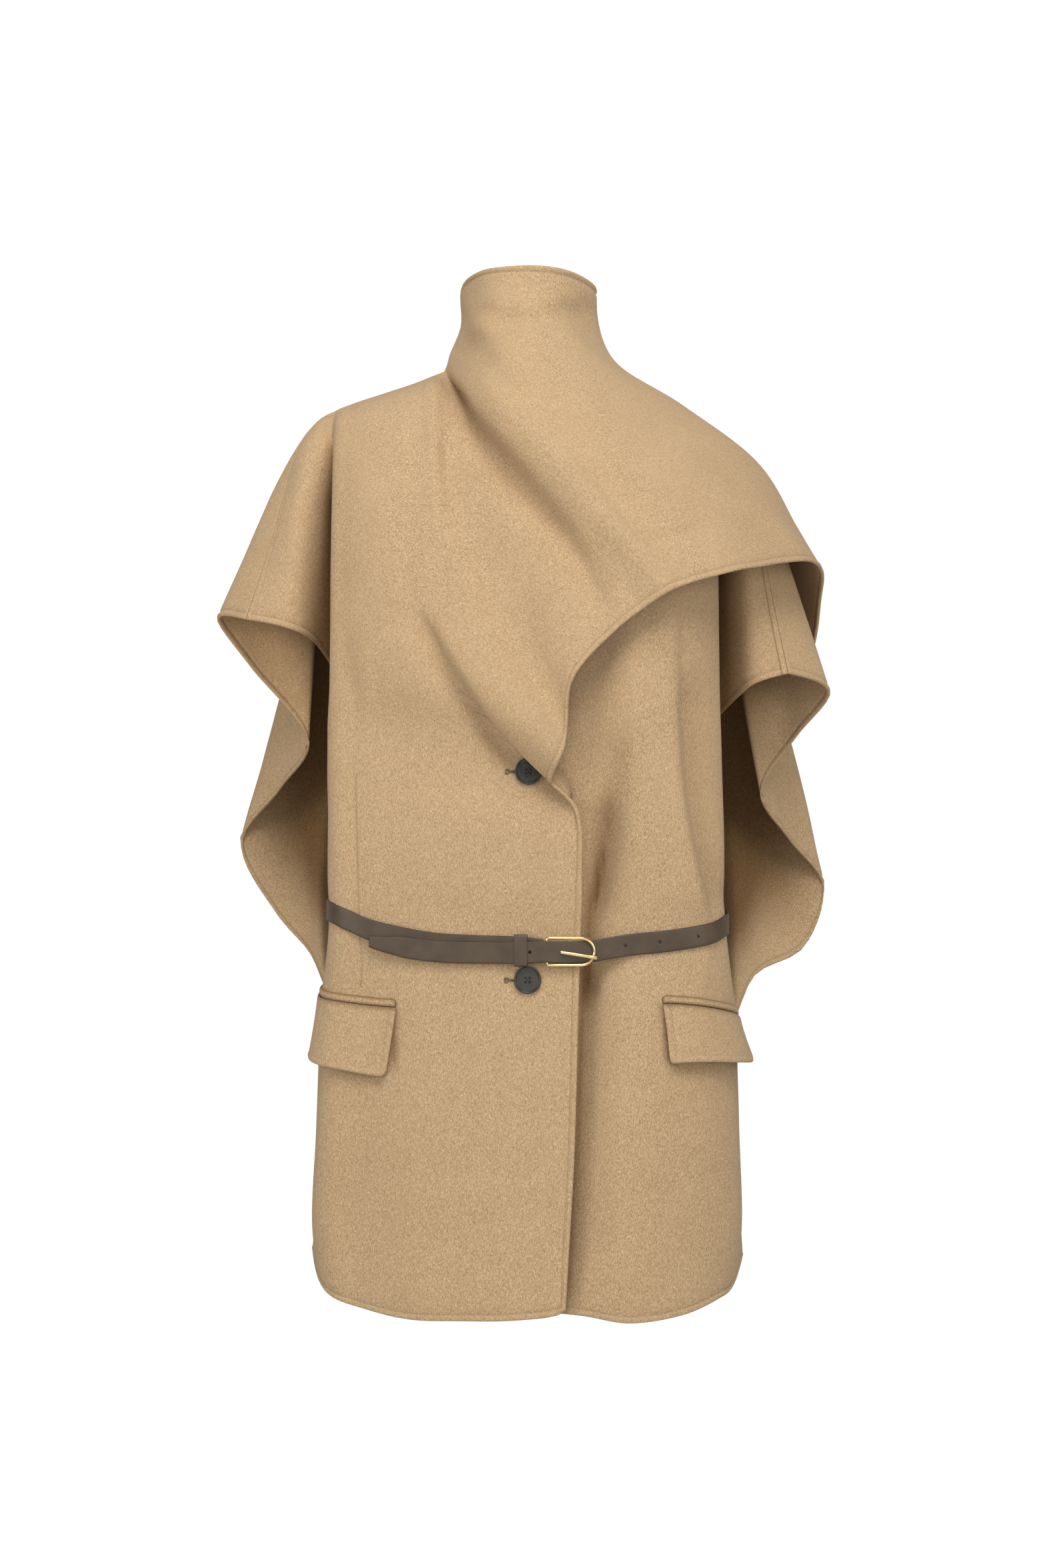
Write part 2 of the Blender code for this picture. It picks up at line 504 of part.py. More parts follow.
def belt_hull(right_panel, left_panel):
    """The taut line round the cloth and the wearer: bearings, the points at them, and the
    bearings of its corners."""
    touched = [(side * x, y) for x, y in BELT_BEHIND for side in (-1, 1)]
    for panel, side in ((right_panel, -1), (left_panel, 1)):
        for column in range(len(panel)):
            for half in (-0.5, 0, 0.5):
                x, y, _ = at_height(panel[column], BELT_MIDDLE)
                z = belt_height(math.degrees(math.atan2(x, -y))) + half * STRAP_WIDTH
                touched.append(on_panel(panel, column, z, WALL + BELT_CLEARANCE, side)[:2])
    taut = geometry.convex_hull_2d([Vector(point) for point in touched])
    corners = np.array([touched[i] for i in taut])
    edges = np.roll(corners, -1, axis=0) - corners
    shares = np.linspace(0, 1, HULL_SAMPLES, endpoint=False)[:, None]
    line = np.concatenate([corner + edge * shares for corner, edge in zip(corners, edges)])
    order = np.argsort(bearing_of(line))
    return bearing_of(line)[order], line[order], np.sort(bearing_of(corners))


def on_belt(hull, bearing, lift):
    """A point lifted out from the taut line, and the way out there."""
    near = [
        np.array([np.interp(bearing + turn, hull[0], hull[1][:, k], period=360) for k in (0, 1)])
        for turn in (-BEARING_STEP, 0.0, BEARING_STEP)
    ]
    dx, dy = (near[2] - near[0]) / np.linalg.norm(near[2] - near[0])
    outward = np.array((dy, -dx))
    x, y = near[1] + outward * lift
    return Vector((x, y, belt_height(bearing))), Vector((outward[0], outward[1], 0))


def strap_grid(hull):
    given = np.array(STRAP)
    turns = np.linspace(given[0, 0], given[-1, 0], round(np.ptp(given[:, 0]) / STRAP_SPACING) + 1)
    corners = np.concatenate([hull[2], hull[2] - 360])
    corners = corners[(corners < turns[0] - 1) & (corners > turns[-1] + 1)]
    apart = np.abs(turns[:, None] - corners).min(axis=1) > CORNER_SPACING
    apart[[0, -1]] = True
    turns = np.sort(np.concatenate([turns[apart], corners]))[::-1]
    lifts, drops = (np.interp(-turns, -given[:, 0], given[:, k]) for k in (1, 2))
    points = [on_belt(hull, turn, lift)[0] for turn, lift in zip(turns, lifts)]
    steps = [(b - a).length for a, b in zip(points[::-1], points[-2::-1])]
    from_tip = np.cumsum([0.0, *steps])[::-1]
    grid = np.empty((3, len(turns), 3))
    for j, (point, drop) in enumerate(zip(points, drops)):
        half = STRAP_WIDTH / 2 * (1 - TIP_TAPER * max(0.0, 1 - from_tip[j] / TIP_LENGTH))
        for i, place_across in enumerate((half, 0.0, -half)):
            grid[i, j] = (point.x, point.y, point.z + drop + place_across)
    return grid


def bearing_at(x, hull):
    """The bearing where the front of the belt's line is this far across."""
    front = np.abs(hull[0]) < FRONT_BEARING
    return np.interp(x, hull[1][front, 0], hull[0][front])


def surface_depth(panel, x, z):
    points, _ = section(panel, z)
    return np.interp(x, points[:, 0], points[:, 1])


def material(name, colour, roughness, metallic=0.0):
    made = bpy.data.materials.new(name)
    made.use_nodes = True
    shader = made.node_tree.nodes["Principled BSDF"]
    shader.inputs["Base Color"].default_value = (*colour, 1.0)
    shader.inputs["Roughness"].default_value = roughness
    shader.inputs["Metallic"].default_value = metallic
    return made


def place(name, mesh, finish, collection):
    mesh.materials.append(finish)
    made = bpy.data.objects.new(name, mesh)
    collection.objects.link(made)
    return made


def sheet(name, grid, finish, collection, flip=False, wall=WALL):
    """A wall of cloth that grows outwards from the grid, which is its inner face."""
    whole = ~np.isnan(grid[..., 0])
    index = np.full(whole.shape, -1)
    index[whole] = np.arange(whole.sum())
    faces = []
    for i in range(grid.shape[0] - 1):
        for j in range(grid.shape[1] - 1):
            corners = [index[i, j], index[i + 1, j], index[i + 1, j + 1], index[i, j + 1]]
            if min(corners) >= 0:
                faces.append(corners[::-1] if flip else corners)
    mesh = bpy.data.meshes.new(name)
    mesh.from_pydata((grid[whole] * MM).tolist(), [], [[int(k) for k in face] for face in faces])
    mesh.shade_smooth()
    made = place(name, mesh, finish, collection)
    solid = made.modifiers.new("Wall", "SOLIDIFY")
    solid.thickness = wall * MM
    solid.offset = 1.0
    return made


def seated(panel, x, z, radius):
    """Where a round piece rests on a panel: its place, and the ways across, up and out."""
    reach = radius * SEAT_REACH
    slope_x = (surface_depth(panel, x + reach, z) - surface_depth(panel, x - reach, z)) / (2 * reach)
    slope_z = (surface_depth(panel, x, z + reach) - surface_depth(panel, x, z - reach)) / (2 * reach)
    middle = surface_depth(panel, x, z)
    rise = 0.0
    for turn in np.linspace(0, 2 * math.pi, SEAT_SPOTS, endpoint=False):
        for part in (0.5, 1.0):
            dx, dz = radius * part * math.cos(turn), radius * part * math.sin(turn)
            flat = middle + slope_x * dx + slope_z * dz
            rise = max(rise, flat - surface_depth(panel, x + dx, z + dz))
    out = Vector((slope_x, -1, slope_z)).normalized()
    across = Vector((1, slope_x, 0)).normalized()
    place_at = Vector((x, middle, z)) + out * (WALL + CLEARANCE + rise)
    return place_at, across, out.cross(across), out


def frame_matrix(origin, across, up, out):
    """Local X across, local Y up and local Z out, in metres."""
    turn = Matrix((across, up, out)).transposed().to_4x4()
    return Matrix.Translation(origin * MM) @ turn


def curve_object(name, splines, finish, collection, cyclic, radius=0.0):
    data = bpy.data.curves.new(name, "CURVE")
    data.dimensions = "3D"
    data.bevel_depth = radius * MM
    data.bevel_resolution = 2
    data.use_fill_caps = not cyclic
    for points in splines:
        spline = data.splines.new("POLY")
        spline.points.add(len(points) - 1)
        for spot, point in zip(spline.points, points):
            spot.co = (*(Vector(point) * MM), 1.0)
        spline.use_cyclic_u = cyclic
    return place(name, data, finish, collection)


def rounded(half_width, half_height, corner, steps):
    """A rectangle with rounded corners, round its middle."""
    points = []
    for quarter, (sx, sy) in enumerate(((1, 1), (-1, 1), (-1, -1), (1, -1))):
        for step in range(steps + 1):
            turn = math.pi / 2 * (quarter + step / steps)
            points.append((sx * (half_width - corner) + corner * math.cos(turn),
                           sy * (half_height - corner) + corner * math.sin(turn), 0))
    return points


def add_button(name, panel, centre, finish, collection, cutters):
    mesh = bpy.data.meshes.new(name)
    profile = [(radius * MM, 0, height * MM) for radius, height in BUTTON_PROFILE]
    mesh.from_pydata(profile, [(i, i + 1) for i in range(len(profile) - 1)], [])
    made = place(name, mesh, finish, collection)
    turned = made.modifiers.new("Turned", "SCREW")
    turned.steps = turned.render_steps = BUTTON_STEPS
    turned.axis = "Z"
    turned.use_merge_vertices = True
    turned.merge_threshold = MERGED * MM
    made.matrix_world = frame_matrix(*seated(panel, *centre, BUTTON_RADIUS))
    for sx in (-1, 1):
        for sy in (-1, 1):
            spot = Vector((sx * BUTTON_HOLE_SPREAD, sy * BUTTON_HOLE_SPREAD, 0))
            drill(made, f"{name}_hole", made.matrix_world @ Matrix.Translation(spot * MM),
                  BUTTON_HOLE_RADIUS, cutters)


def drill(target, name, matrix, radius, cutters):
    """Cuts a round hole through the target along the matrix's Z."""
    mesh = bpy.data.meshes.new(name)
    shape = bmesh.new()
    bmesh.ops.create_cone(shape, cap_ends=True, segments=DRILL_SEGMENTS, radius1=radius * MM,
                          radius2=radius * MM, depth=DRILL_DEPTH * MM)
    shape.to_mesh(mesh)
    shape.free()
    cutter = bpy.data.objects.new(name, mesh)
    cutters.objects.link(cutter)
    cutter.matrix_world = matrix
    cutter.hide_render = True
    cutter.display_type = "WIRE"
    cut = target.modifiers.new("Hole", "BOOLEAN")
    cut.operation = "DIFFERENCE"
    cut.solver = "EXACT"
    cut.object = cutter


def buckle_line(hull, x, z, lift):
    point, _ = on_belt(hull, bearing_at(x, hull), lift)
    return (point.x, point.y, z)


def add_strap(hull, leather, cape, cutters):
    strap = sheet("belt_strap", strap_grid(hull), leather, cape, flip=True, wall=STRAP_WALL)
    given = np.array(STRAP)
    up = Vector((0, 0, 1))
    for turn in STRAP_HOLE_BEARINGS:
        lift, drop = (np.interp(-turn, -given[:, 0], given[:, k]) for k in (1, 2))
        point, out = on_belt(hull, turn, lift)
        point.z += drop
        matrix = frame_matrix(point, up.cross(out), up, out)
        drill(strap, "strap_hole", matrix, STRAP_HOLE_RADIUS, cutters)


def add_keeper(hull, leather, cape):
    point, out = on_belt(hull, bearing_at(KEEPER_X, hull), sum(KEEPER_LIFTS) / 2)
    point.z = (KEEPER_TOP + KEEPER_BOTTOM) / 2
    half_depth = (KEEPER_LIFTS[1] - KEEPER_LIFTS[0]) / 2
    half_height = (KEEPER_TOP - KEEPER_BOTTOM) / 2
    keeper = curve_object("belt_keeper", [
        rounded(half_depth, half_height, KEEPER_CORNERS[0], KEEPER_STEPS[0]),
        rounded(half_depth + KEEPER_WALL, half_height + KEEPER_WALL, KEEPER_CORNERS[1], KEEPER_STEPS[1]),
    ], leather, cape, cyclic=True)
    keeper.data.dimensions = "2D"
    keeper.data.fill_mode = "BOTH"
    keeper.data.extrude = KEEPER_WIDTH / 2 * MM
    up = Vector((0, 0, 1))
    keeper.matrix_world = frame_matrix(point, out, up, out.cross(up))


def add_buckle(hull, gold, cape):
    line = [(BAR_X, -FRAME_HALF_HEIGHT), (BAR_X, FRAME_HALF_HEIGHT)]
    middle = FRAME_END_X - FRAME_HALF_HEIGHT
    for turn in np.linspace(math.pi / 2, -math.pi / 2, FRAME_STEPS + 1):
        line.append((middle + FRAME_HALF_HEIGHT * math.cos(turn), FRAME_HALF_HEIGHT * math.sin(turn)))
    frame = [buckle_line(hull, x, FRAME_Z + rise, FRAME_LIFT) for x, rise in line]
    curve_object("buckle_frame", [frame], gold, cape, cyclic=True, radius=WIRE_RADIUS)
    prong = [buckle_line(hull, *row) for row in PRONG]
    curve_object("buckle_prong", [prong], gold, cape, cyclic=False, radius=PRONG_RADIUS)


def main():
    for old in list(bpy.data.objects):
        bpy.data.objects.remove(old, do_unlink=True)
    cape = bpy.data.collections.new("wool_cape")
    cutters = bpy.data.collections.new("cutters")
    for made in (cape, cutters):
        bpy.context.scene.collection.children.link(made)
    cutters.hide_render = True
    wool = material("camel_wool", (0.50, 0.34, 0.19), 0.95)
    leather = material("taupe_leather", (0.10, 0.075, 0.055), 0.5)
    gold = material("gold_metal", (0.83, 0.62, 0.27), 0.22, 1.0)
    horn = material("dark_horn", (0.02, 0.025, 0.022), 0.3)

    right_front, left_front = right_front_grid(), left_front_grid()
    sheet("right_front", right_front, wool, cape)
    sheet("left_front", left_front, wool, cape)
    sheet("back", back_grid(), wool, cape, flip=True)
    sheet("collar_back", collar_grid(), wool, cape, flip=True)

    right_panel = right_front[:, BODY_START:BODY_END + 1].transpose(1, 0, 2)
    left_panel = left_front[:, LEFT_BODY_END::-1].transpose(1, 0, 2)
    pockets = (("right", right_panel, RIGHT_POCKET, -1), ("left", left_panel, LEFT_POCKET, 1))
    for name, panel, pocket, side in pockets:
        flap = pocket_grid(panel, pocket, side, pocket.depth, FLAP_ROWS, hangs=1)
        raised = pocket._replace(side_top=pocket.side_top + pocket.welt_height,
                                 front_top=pocket.front_top + pocket.welt_height)
        welt = pocket_grid(panel, raised, side, pocket.welt_height - SEAM_GAP, 1, hangs=0)
        sheet(f"pocket_flap_{name}", flap, wool, cape, flip=side > 0)
        sheet(f"pocket_welt_{name}", welt, wool, cape, flip=side > 0)

    hull = belt_hull(right_panel, left_panel)
    add_strap(hull, leather, cape, cutters)
    add_keeper(hull, leather, cape)
    add_buckle(hull, gold, cape)
    for name, centre in (("button_upper", UPPER_BUTTON), ("button_lower", LOWER_BUTTON)):
        add_button(name, right_panel[:TUCK_COLUMN + 1], centre, horn, cape, cutters)


main()
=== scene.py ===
"""The looks of a wool cape with a wrapped scarf collar and a leather belt.

Each sheet of wool is lofted again through its solid's own fold lines, at finer steps, and
gets its soft folds, rounded and stitched edges and brushed nap. The belt, buckle and buttons
are made again in full detail on the same cloth.

X points to the wearer's left, the wearer faces -Y, Z is up. Tables are in millimetres.
"""
import math
import random
from collections import namedtuple

import bmesh
import bpy
import numpy as np
from mathutils import Matrix, Vector, geometry, noise


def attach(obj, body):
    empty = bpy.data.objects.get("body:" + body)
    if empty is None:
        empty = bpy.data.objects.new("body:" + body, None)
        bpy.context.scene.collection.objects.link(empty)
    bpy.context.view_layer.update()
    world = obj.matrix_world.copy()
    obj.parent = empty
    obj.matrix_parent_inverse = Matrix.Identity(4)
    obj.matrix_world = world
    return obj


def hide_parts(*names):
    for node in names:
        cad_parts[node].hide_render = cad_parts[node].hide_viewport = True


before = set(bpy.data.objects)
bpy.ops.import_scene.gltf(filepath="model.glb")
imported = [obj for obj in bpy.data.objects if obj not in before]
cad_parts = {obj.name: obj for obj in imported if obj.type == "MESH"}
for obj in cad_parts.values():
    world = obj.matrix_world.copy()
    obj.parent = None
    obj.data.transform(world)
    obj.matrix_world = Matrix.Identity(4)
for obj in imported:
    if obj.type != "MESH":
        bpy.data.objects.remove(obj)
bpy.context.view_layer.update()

MM = 0.001

# Cloth, leather and metal thicknesses, and the room between pieces
WALL = 2.4
SEAM_GAP = 0.4
STRAP_WALL = 2.2
WIRE_RADIUS = 1.45
PRONG_RADIUS = 1.65
CLEARANCE = 0.45
BELT_CLEARANCE = 1.0

# Pockets: where the flap starts and ends along the cloth from the side seam, the heights of
# its top at the side and in front, its depth in front and at the side, how far its front edge
# leans, the height of the welt above it, and how far its lower corners stand off and the whole
# flap lies clear
Pocket = namedtuple("Pocket", "side_start side_end side_top front_top depth side_depth slant "
                    "welt_height stand_front stand_side clear")
RIGHT_POCKET = Pocket(30, 149, -584, -592.5, 63.5, 58, -8, 8.0, 2.6, 7.0, 0.8)
LEFT_POCKET = Pocket(6, 158, -609, -588, 54, 39, -2, 8.0, 5.0, 12.0, 1.4)
FLAP_CURL = 1.3
FLAP_BOW = 1.2
FLAP_CORNERS = {"right": 7.0, "left": 4.0}
WELT_CORNER = 4.5
WELT_SUNK = 1.5
# The spacing of the points across and down a pocket's flap and welt
POCKET_SPACING = 3.5

# Buttons: the profile runs from the middle of the dished face over the rim to the back
BUTTON_LATHE = (
    (0.0, 2.4), (4.0, 2.4), (8.0, 2.38), (9.6, 2.3), (10.1, 2.38), (10.5, 2.75), (10.9, 3.1),
    (11.4, 3.22), (11.9, 3.08), (12.25, 2.7), (12.4, 2.2), (12.35, 1.5), (11.9, 0.8),
    (11.0, 0.25), (9.0, 0.05), (4.0, 0.0), (0.0, 0.0),
)
BUTTON_RINGS = 49
LATHE_STEPS = 72
BUTTON_RADIUS = 12.4
BUTTON_HOLE_RADIUS = 1.1
BUTTON_HOLE_SPREAD = 1.85
# The middle of the bits that drill the holes, above the button's back, and their length
BUTTON_BITS = (1.5, 8.0)
# A round piece rests on the spots round its middle, within this share of its radius
SEAT_SPOTS = 12
SEAT_REACH = 0.9
BUTTONS = {"upper": (1.3, -377.0), "lower": (0.5, -566.4)}
# The crossed threads: each one's rise through its two holes, and the gap between a pair
THREAD_RISE = ((-1.0, 0.2), (-1.0, 1.6), (-0.7, 2.3), (0.0, 2.5), (0.7, 2.3), (1.0, 1.6),
               (1.0, 0.2))
THREAD_SHIFT = 0.3
THREAD_RADIUS = 0.16

# The worked hole: where its end and its near part are, measured from the button's middle
HOLE_END = -19.6
HOLE_NEAR = -11.6
# The stitches along the hole: where they start, the room between them, how far up or down
# they reach, and how far their middles and ends stray
STITCHES_FROM = HOLE_END + 1.8
HOLE_STITCH = 0.62
STITCH_REACH = (1.2, 2.0)
STITCH_STRAYS = (0.3, 0.4)
KNOT_THREADS = 46
KNOT_SEED = 5
# The knot: how far its threads' middles stray across and up, how far they turn, in radians,
# how far each stands out, and its half length
KNOT_SPREAD = (1.7, 2.3)
KNOT_TURN = 0.7
KNOT_RISE = (0.35, 0.8)
KNOT_REACH = 1.1
KNOT_RADIUS = 0.17
# The slit, drawn as a dark thread that starts thin
SLIT_FROM = HOLE_END + 1.2
SLIT_OUT = 0.06
SLIT_RADIUS = 0.5
SLIT_STEPS = 12
SLIT_SWELL = (0.35, 1.0)

# Belt. A bearing is measured round the wearer from the front, in degrees, and grows towards
# the wearer's left. The belt's line gives the height of the strap's middle at each bearing.
STRAP_WIDTH = 19.8
BELT_LINE = (
    (-180, -505), (-135, -503), (-90, -502), (-68.5, -506), (-64, -512), (-58.7, -521.6),
    (-52, -527.4), (-39.5, -533.4), (0, -536.7), (12, -539.8), (27, -539.9), (33, -537.4),
    (41, -533.8), (50.7, -530.7), (60.9, -524.6), (67.8, -518), (90, -511), (135, -507), (180, -505),
)
BELT_STEP = 0.8
BELT_SOFTEN = 3.0
BEARING_STEP = 0.5
FRONT_BEARING = 60
# The strap behind the arm openings, round the wearer: x and y of its inner face, one side
BELT_BEHIND = ((176, 14), (173, 34), (158, 62), (124, 82), (64, 90), (0, 92))

# The strap runs from its buckle end under the keeper, round the wearer to the buckle, over
# the bar and back over itself to its tip. Lift is the distance out from the cloth, and drop
# how far the tail hangs below the strap under it.
Strap = namedtuple("Strap", "bearing lift drop")
STRAP = (
    Strap(7.5, 2.1, 0), Strap(-7.0, 2.1, 0), Strap(-16.0, 0, 0), Strap(-332.0, 0, 0),
    Strap(-342.0, 3.2, 0), Strap(-351.0, 6.3, -0.4), Strap(-358.5, 5.2, -3.6),
    Strap(-367.0, 4.8, -5.2), Strap(-376.0, 2.7, -5.6), Strap(-399.5, 2.7, -6.8),
    Strap(-412.0, 2.7, -8.2), Strap(-418.7, 2.7, -10.4),
)
STRAP_SOFTEN = 2.0
STRAP_SPACING = 2.2
TIP_LENGTH = 32.0
TIP_TAPER = 0.46
STRAP_HOLE_RADIUS = 1.4
STRAP_HOLE_BEARINGS = (-321.0, -311.5, -302.5, -358.6)
DRILL_DEPTH = 12.0
# Sides of every round hole, in the buttons too
DRILL_SEGMENTS = 20

# Keeper: where its middle is across, its width, wall, and inner height and depth
KEEPER_X = -5.6
KEEPER_WIDTH = 12.0
KEEPER_WALL = 1.3
KEEPER_TOP = -525.7
KEEPER_BOTTOM = -552.15
KEEPER_LIFTS = (1.4, 7.4)
KEEPER_CORNERS = (1.2, 2.4)
KEEPER_CORNER_STEPS = 8
KEEPER_BEVEL = 0.35

# Buckle: a rounded frame whose bar is behind the strap, and a prong resting on its end
BAR_X = 18.0
FRAME_END_X = 60.4
FRAME_HALF_HEIGHT = 12.2
FRAME_CORNER = 2
# How far round its corner the frame's outline has points, and the steps of its other parts
CORNER_TURNS = (0.2, 0.46, 0.72, 0.98, 1.24, 1.5)
BAR_STEPS = 12
SIDE_STEPS = 20
END_STEPS = 40
FRAME_Z = -539.9
FRAME_LIFT = 4.3
PRONG = ((31.0, -540.2, 8.6), (42.0, -541.9, 8.5), (53.0, -543.8, 8.1), (62.0, -545.3, 7.9))
PRONG_STEPS = 40
PRONG_SWELL = ((0, 30, 34, 39), (0.95, 1.0, 1.14, 1.14))

# Each side's long seam between front and back, from the end of the wing over the arm, up to
# the shoulder's tip and on to the side of the neck. In the tables below, a number in place of
# a point is a distance along it from the tip, and is negative on the wing.
RIGHT_SEAM = ((-262, -35, -235), (-242, -26, -172), (-226, -16, -112), (-213.5, -8, -70),
              (-194, 1, -44), (-166, 3, -31), (-135, 8, -20), (-103, 13, -8.5), (-77, 15, 3))
LEFT_SEAM = ((243, -42, -288), (225, -32, -200), (214, -18, -132), (202, -7, -94),
             (183, 2, -66), (160, 4, -54), (132, 9, -38), (100, 13, -16), (74, 14, 4))
TIP = 4
SEAM_SAMPLES = 16

# The side seams, from the foot of the arm opening to the hem
Corner = namedtuple("Corner", "x y z")
RIGHT_SIDE = (Corner(-188.5, 15, -589), (-192.5, 15, -712), (-197.5, 15, -783), (-202, 15, -830))
LEFT_SIDE = (Corner(196, 15, -612), (197.5, 15, -712), (200, 15, -790), (203, 15, -836))

# Stations down the cloth. A row in a table is one fold line, and gives a point where its
# line crosses each station, or None where the curve may choose its own way. A line that ends
# early leaves out the rest.
Front = namedtuple("Front", "name seam neck yoke chest arm lapel point turn waist belt hip skirt "
                   "low hem", defaults=[None] * 9)
FRONT_STEPS = (3, 3, 3, 4, 2, 2, 1, 2, 2, 3, 4, 3, 2)

RIGHT_WING = (
    Front("seam", 0.0, -37.5, -84.0, -147.0, -213.0),
    Front("swell", 5.0, (-203, -24, -71), (-210, -36, -114), (-216, -44, -180), (-221, -46, -244)),
    Front("trough", 10.0, (-192, -26, -71), (-194, -30, -113), (-197, -26, -185),
        (-199, -18, -257)),
)

# The body of the right front: the hollow behind the side ridge, which is the arm opening's
# edge and then the side seam, the ridge, the tuck under the lapel's roll, and the roll,
# which runs on as the front edge.
RIGHT_BODY = (
    Front("hollow", 15.0, (-182, -20, -62), (-180, -12, -111), (-176, -4, -183), (-172, 0, -300),
        (-173, 0, -340), (-174, 1, -381), (-174, 3, -412), (-173, 7, -466), (-172, 10, -520),
        *RIGHT_SIDE),
    Front("ridge", 21.0, (-176, -26, -48), (-178, -50, -108), (-179, -63, -187), (-179, -68, -286),
        (-179, -70, -335), (-179, -72, -381), (-178, -73, -412), (-178, -74, -470),
        (-177, -72, -520), (-183, -62, -586), (-189, -57, -716), (-192, -55, -800),
        (-181, -60, -861)),
    Front("tuck", 99.0, (-98, -42, -27), (-103, -84, -118), (-108, -98, -199), (-68, -105, -296),
        (14, -102.5, -352), (40, -105, -390), (39, -109, -417), (40, -110, -476), (38, -107, -523),
        (37, -111, -580), (33, -119, -722), (30, -121, -812), (27, -123, -868.5)),
    Front("roll", 105.0, (-93, -43, -25), (-97, -85, -117), (-100, -100, -197), (-61, -115, -290),
        (-21, -123, -341), (23, -121, -386), (46, -115, -411), (50, -112, -475), (49, -109, -522),
        (47, -113, -580), (43, -122, -722), (38, -124, -812), (35, -126, -863)),
)
Between = namedtuple("Between", "share hem_sag")
BODY_BETWEEN = (Between(0.16, 8.0), Between(0.36, 12.6), Between(0.58, 9.8), Between(0.80, 6.5))
BODY_ROUNDING = 2.2

# The scarf's fold lines, from the side of the neck and the rim to its free edge
SCARF = (
    Front("roll_top", 110.0, (-87, -45, -25), (-83, -88, -116), (-61, -106, -198),
        (-22, -124, -282), (5, -134, -327), (29, -132, -366)),
    Front("soft_valley", 115.0, (-80, -42, -27), (-68, -80, -112), (-34, -102, -188),
        (2, -117, -270), (22, -124, -312), (36, -130, -345)),
    Front("soft_ridge", 119.5, (-71, -42, -33), (-45, -82, -106), (2, -112, -185), (30, -127, -252),
        None, (41, -136, -295)),
    Front("valley", 126.0, (-47, -47, -43), (-3, -92, -110), (40, -117, -167), (70, -130, -221),
        None, (80, -137, -250)),
    Front("lip", (-74.5, 15, 9), (-50, -71, -36), (0, -111, -94), (46, -127, -149),
        (85, -133, -195), None, (104, -138, -231)),
    Front("crest", (-71.5, 15, 20), (-40, -79, -26), (16, -114, -78), (59, -130, -132),
        (99, -136, -178), None, (125, -139, -217)),
    Front("flank", (-61, 15, 47), (-28, -77, -8), (32, -108, -66), (78, -124, -124),
        (118, -130, -170), None, (148, -133, -207)),
    Front("rim_side", (-61, 15, 82), (-22, -72, 16), (44, -100, -56), (98, -116, -114),
        (140, -122, -162), None, (172, -125, -200)),
    Front("rim_left", (-44, -25, 92), (-5, -70, 24), (60, -92, -46), (118, -105, -106),
        (160, -110, -156), None, (194, -113, -194)),
    Front("rim_front", (-19, -46, 93), (15, -65, 32), (78, -80, -41), (140, -90, -98),
        (182, -94, -150), None, (214, -96, -190)),
    Front("rim_middle", (9, -52, 93), (34, -54, 36), (98, -62, -36), (166, -67, -92),
        (208, -72, -146), None, (236, -74, -185)),
    Front("rim_right", (37, -38, 91), (60, -28, 22), (122, -34, -31), (192, -38, -87),
        (234, -44, -143), None, (263, -46, -182)),
    Front("shoulder", (62, 5, 84), (78, 10, 16), (147, 8, -31), (218, 4, -87), (254, 2, -147), None,
        (278, -6, -190)),
    Front("behind", (58, 38, 81), (71, 48, 18), (148, 50, -36), (214, 48, -92), (255, 44, -155),
        None, (280, 36, -213)),
    Front("blade", (36, 62, 80), (46, 84, 20), (128, 94, -44), (203, 92, -117), (248, 84, -190),
        None, (276, 76, -262)),
    Front("fall", (8, 74, 80), (12, 98, 30), (95, 124, -58), (162, 134, -150), (207, 132, -250),
        None, (240, 122, -352)),
    Front("corner", (-4, 74, 80), (0, 101, 24), (72, 132, -72), (124, 144, -170), (168, 148, -280),
        None, (200, 142, -395)),
    Front("end", (-14, 72, 80), (-10, 100, 20), (48, 138, -84), (86, 150, -185), (116, 153, -285),
        None, (140, 150, -372)),
)

Left = namedtuple("Left", "name seam yoke chest wing button waist belt hip skirt low hem",
                   defaults=[None] * 7)
LEFT_STEPS = (4, 3, 4, 3, 3, 2, 3, 4, 3, 2)

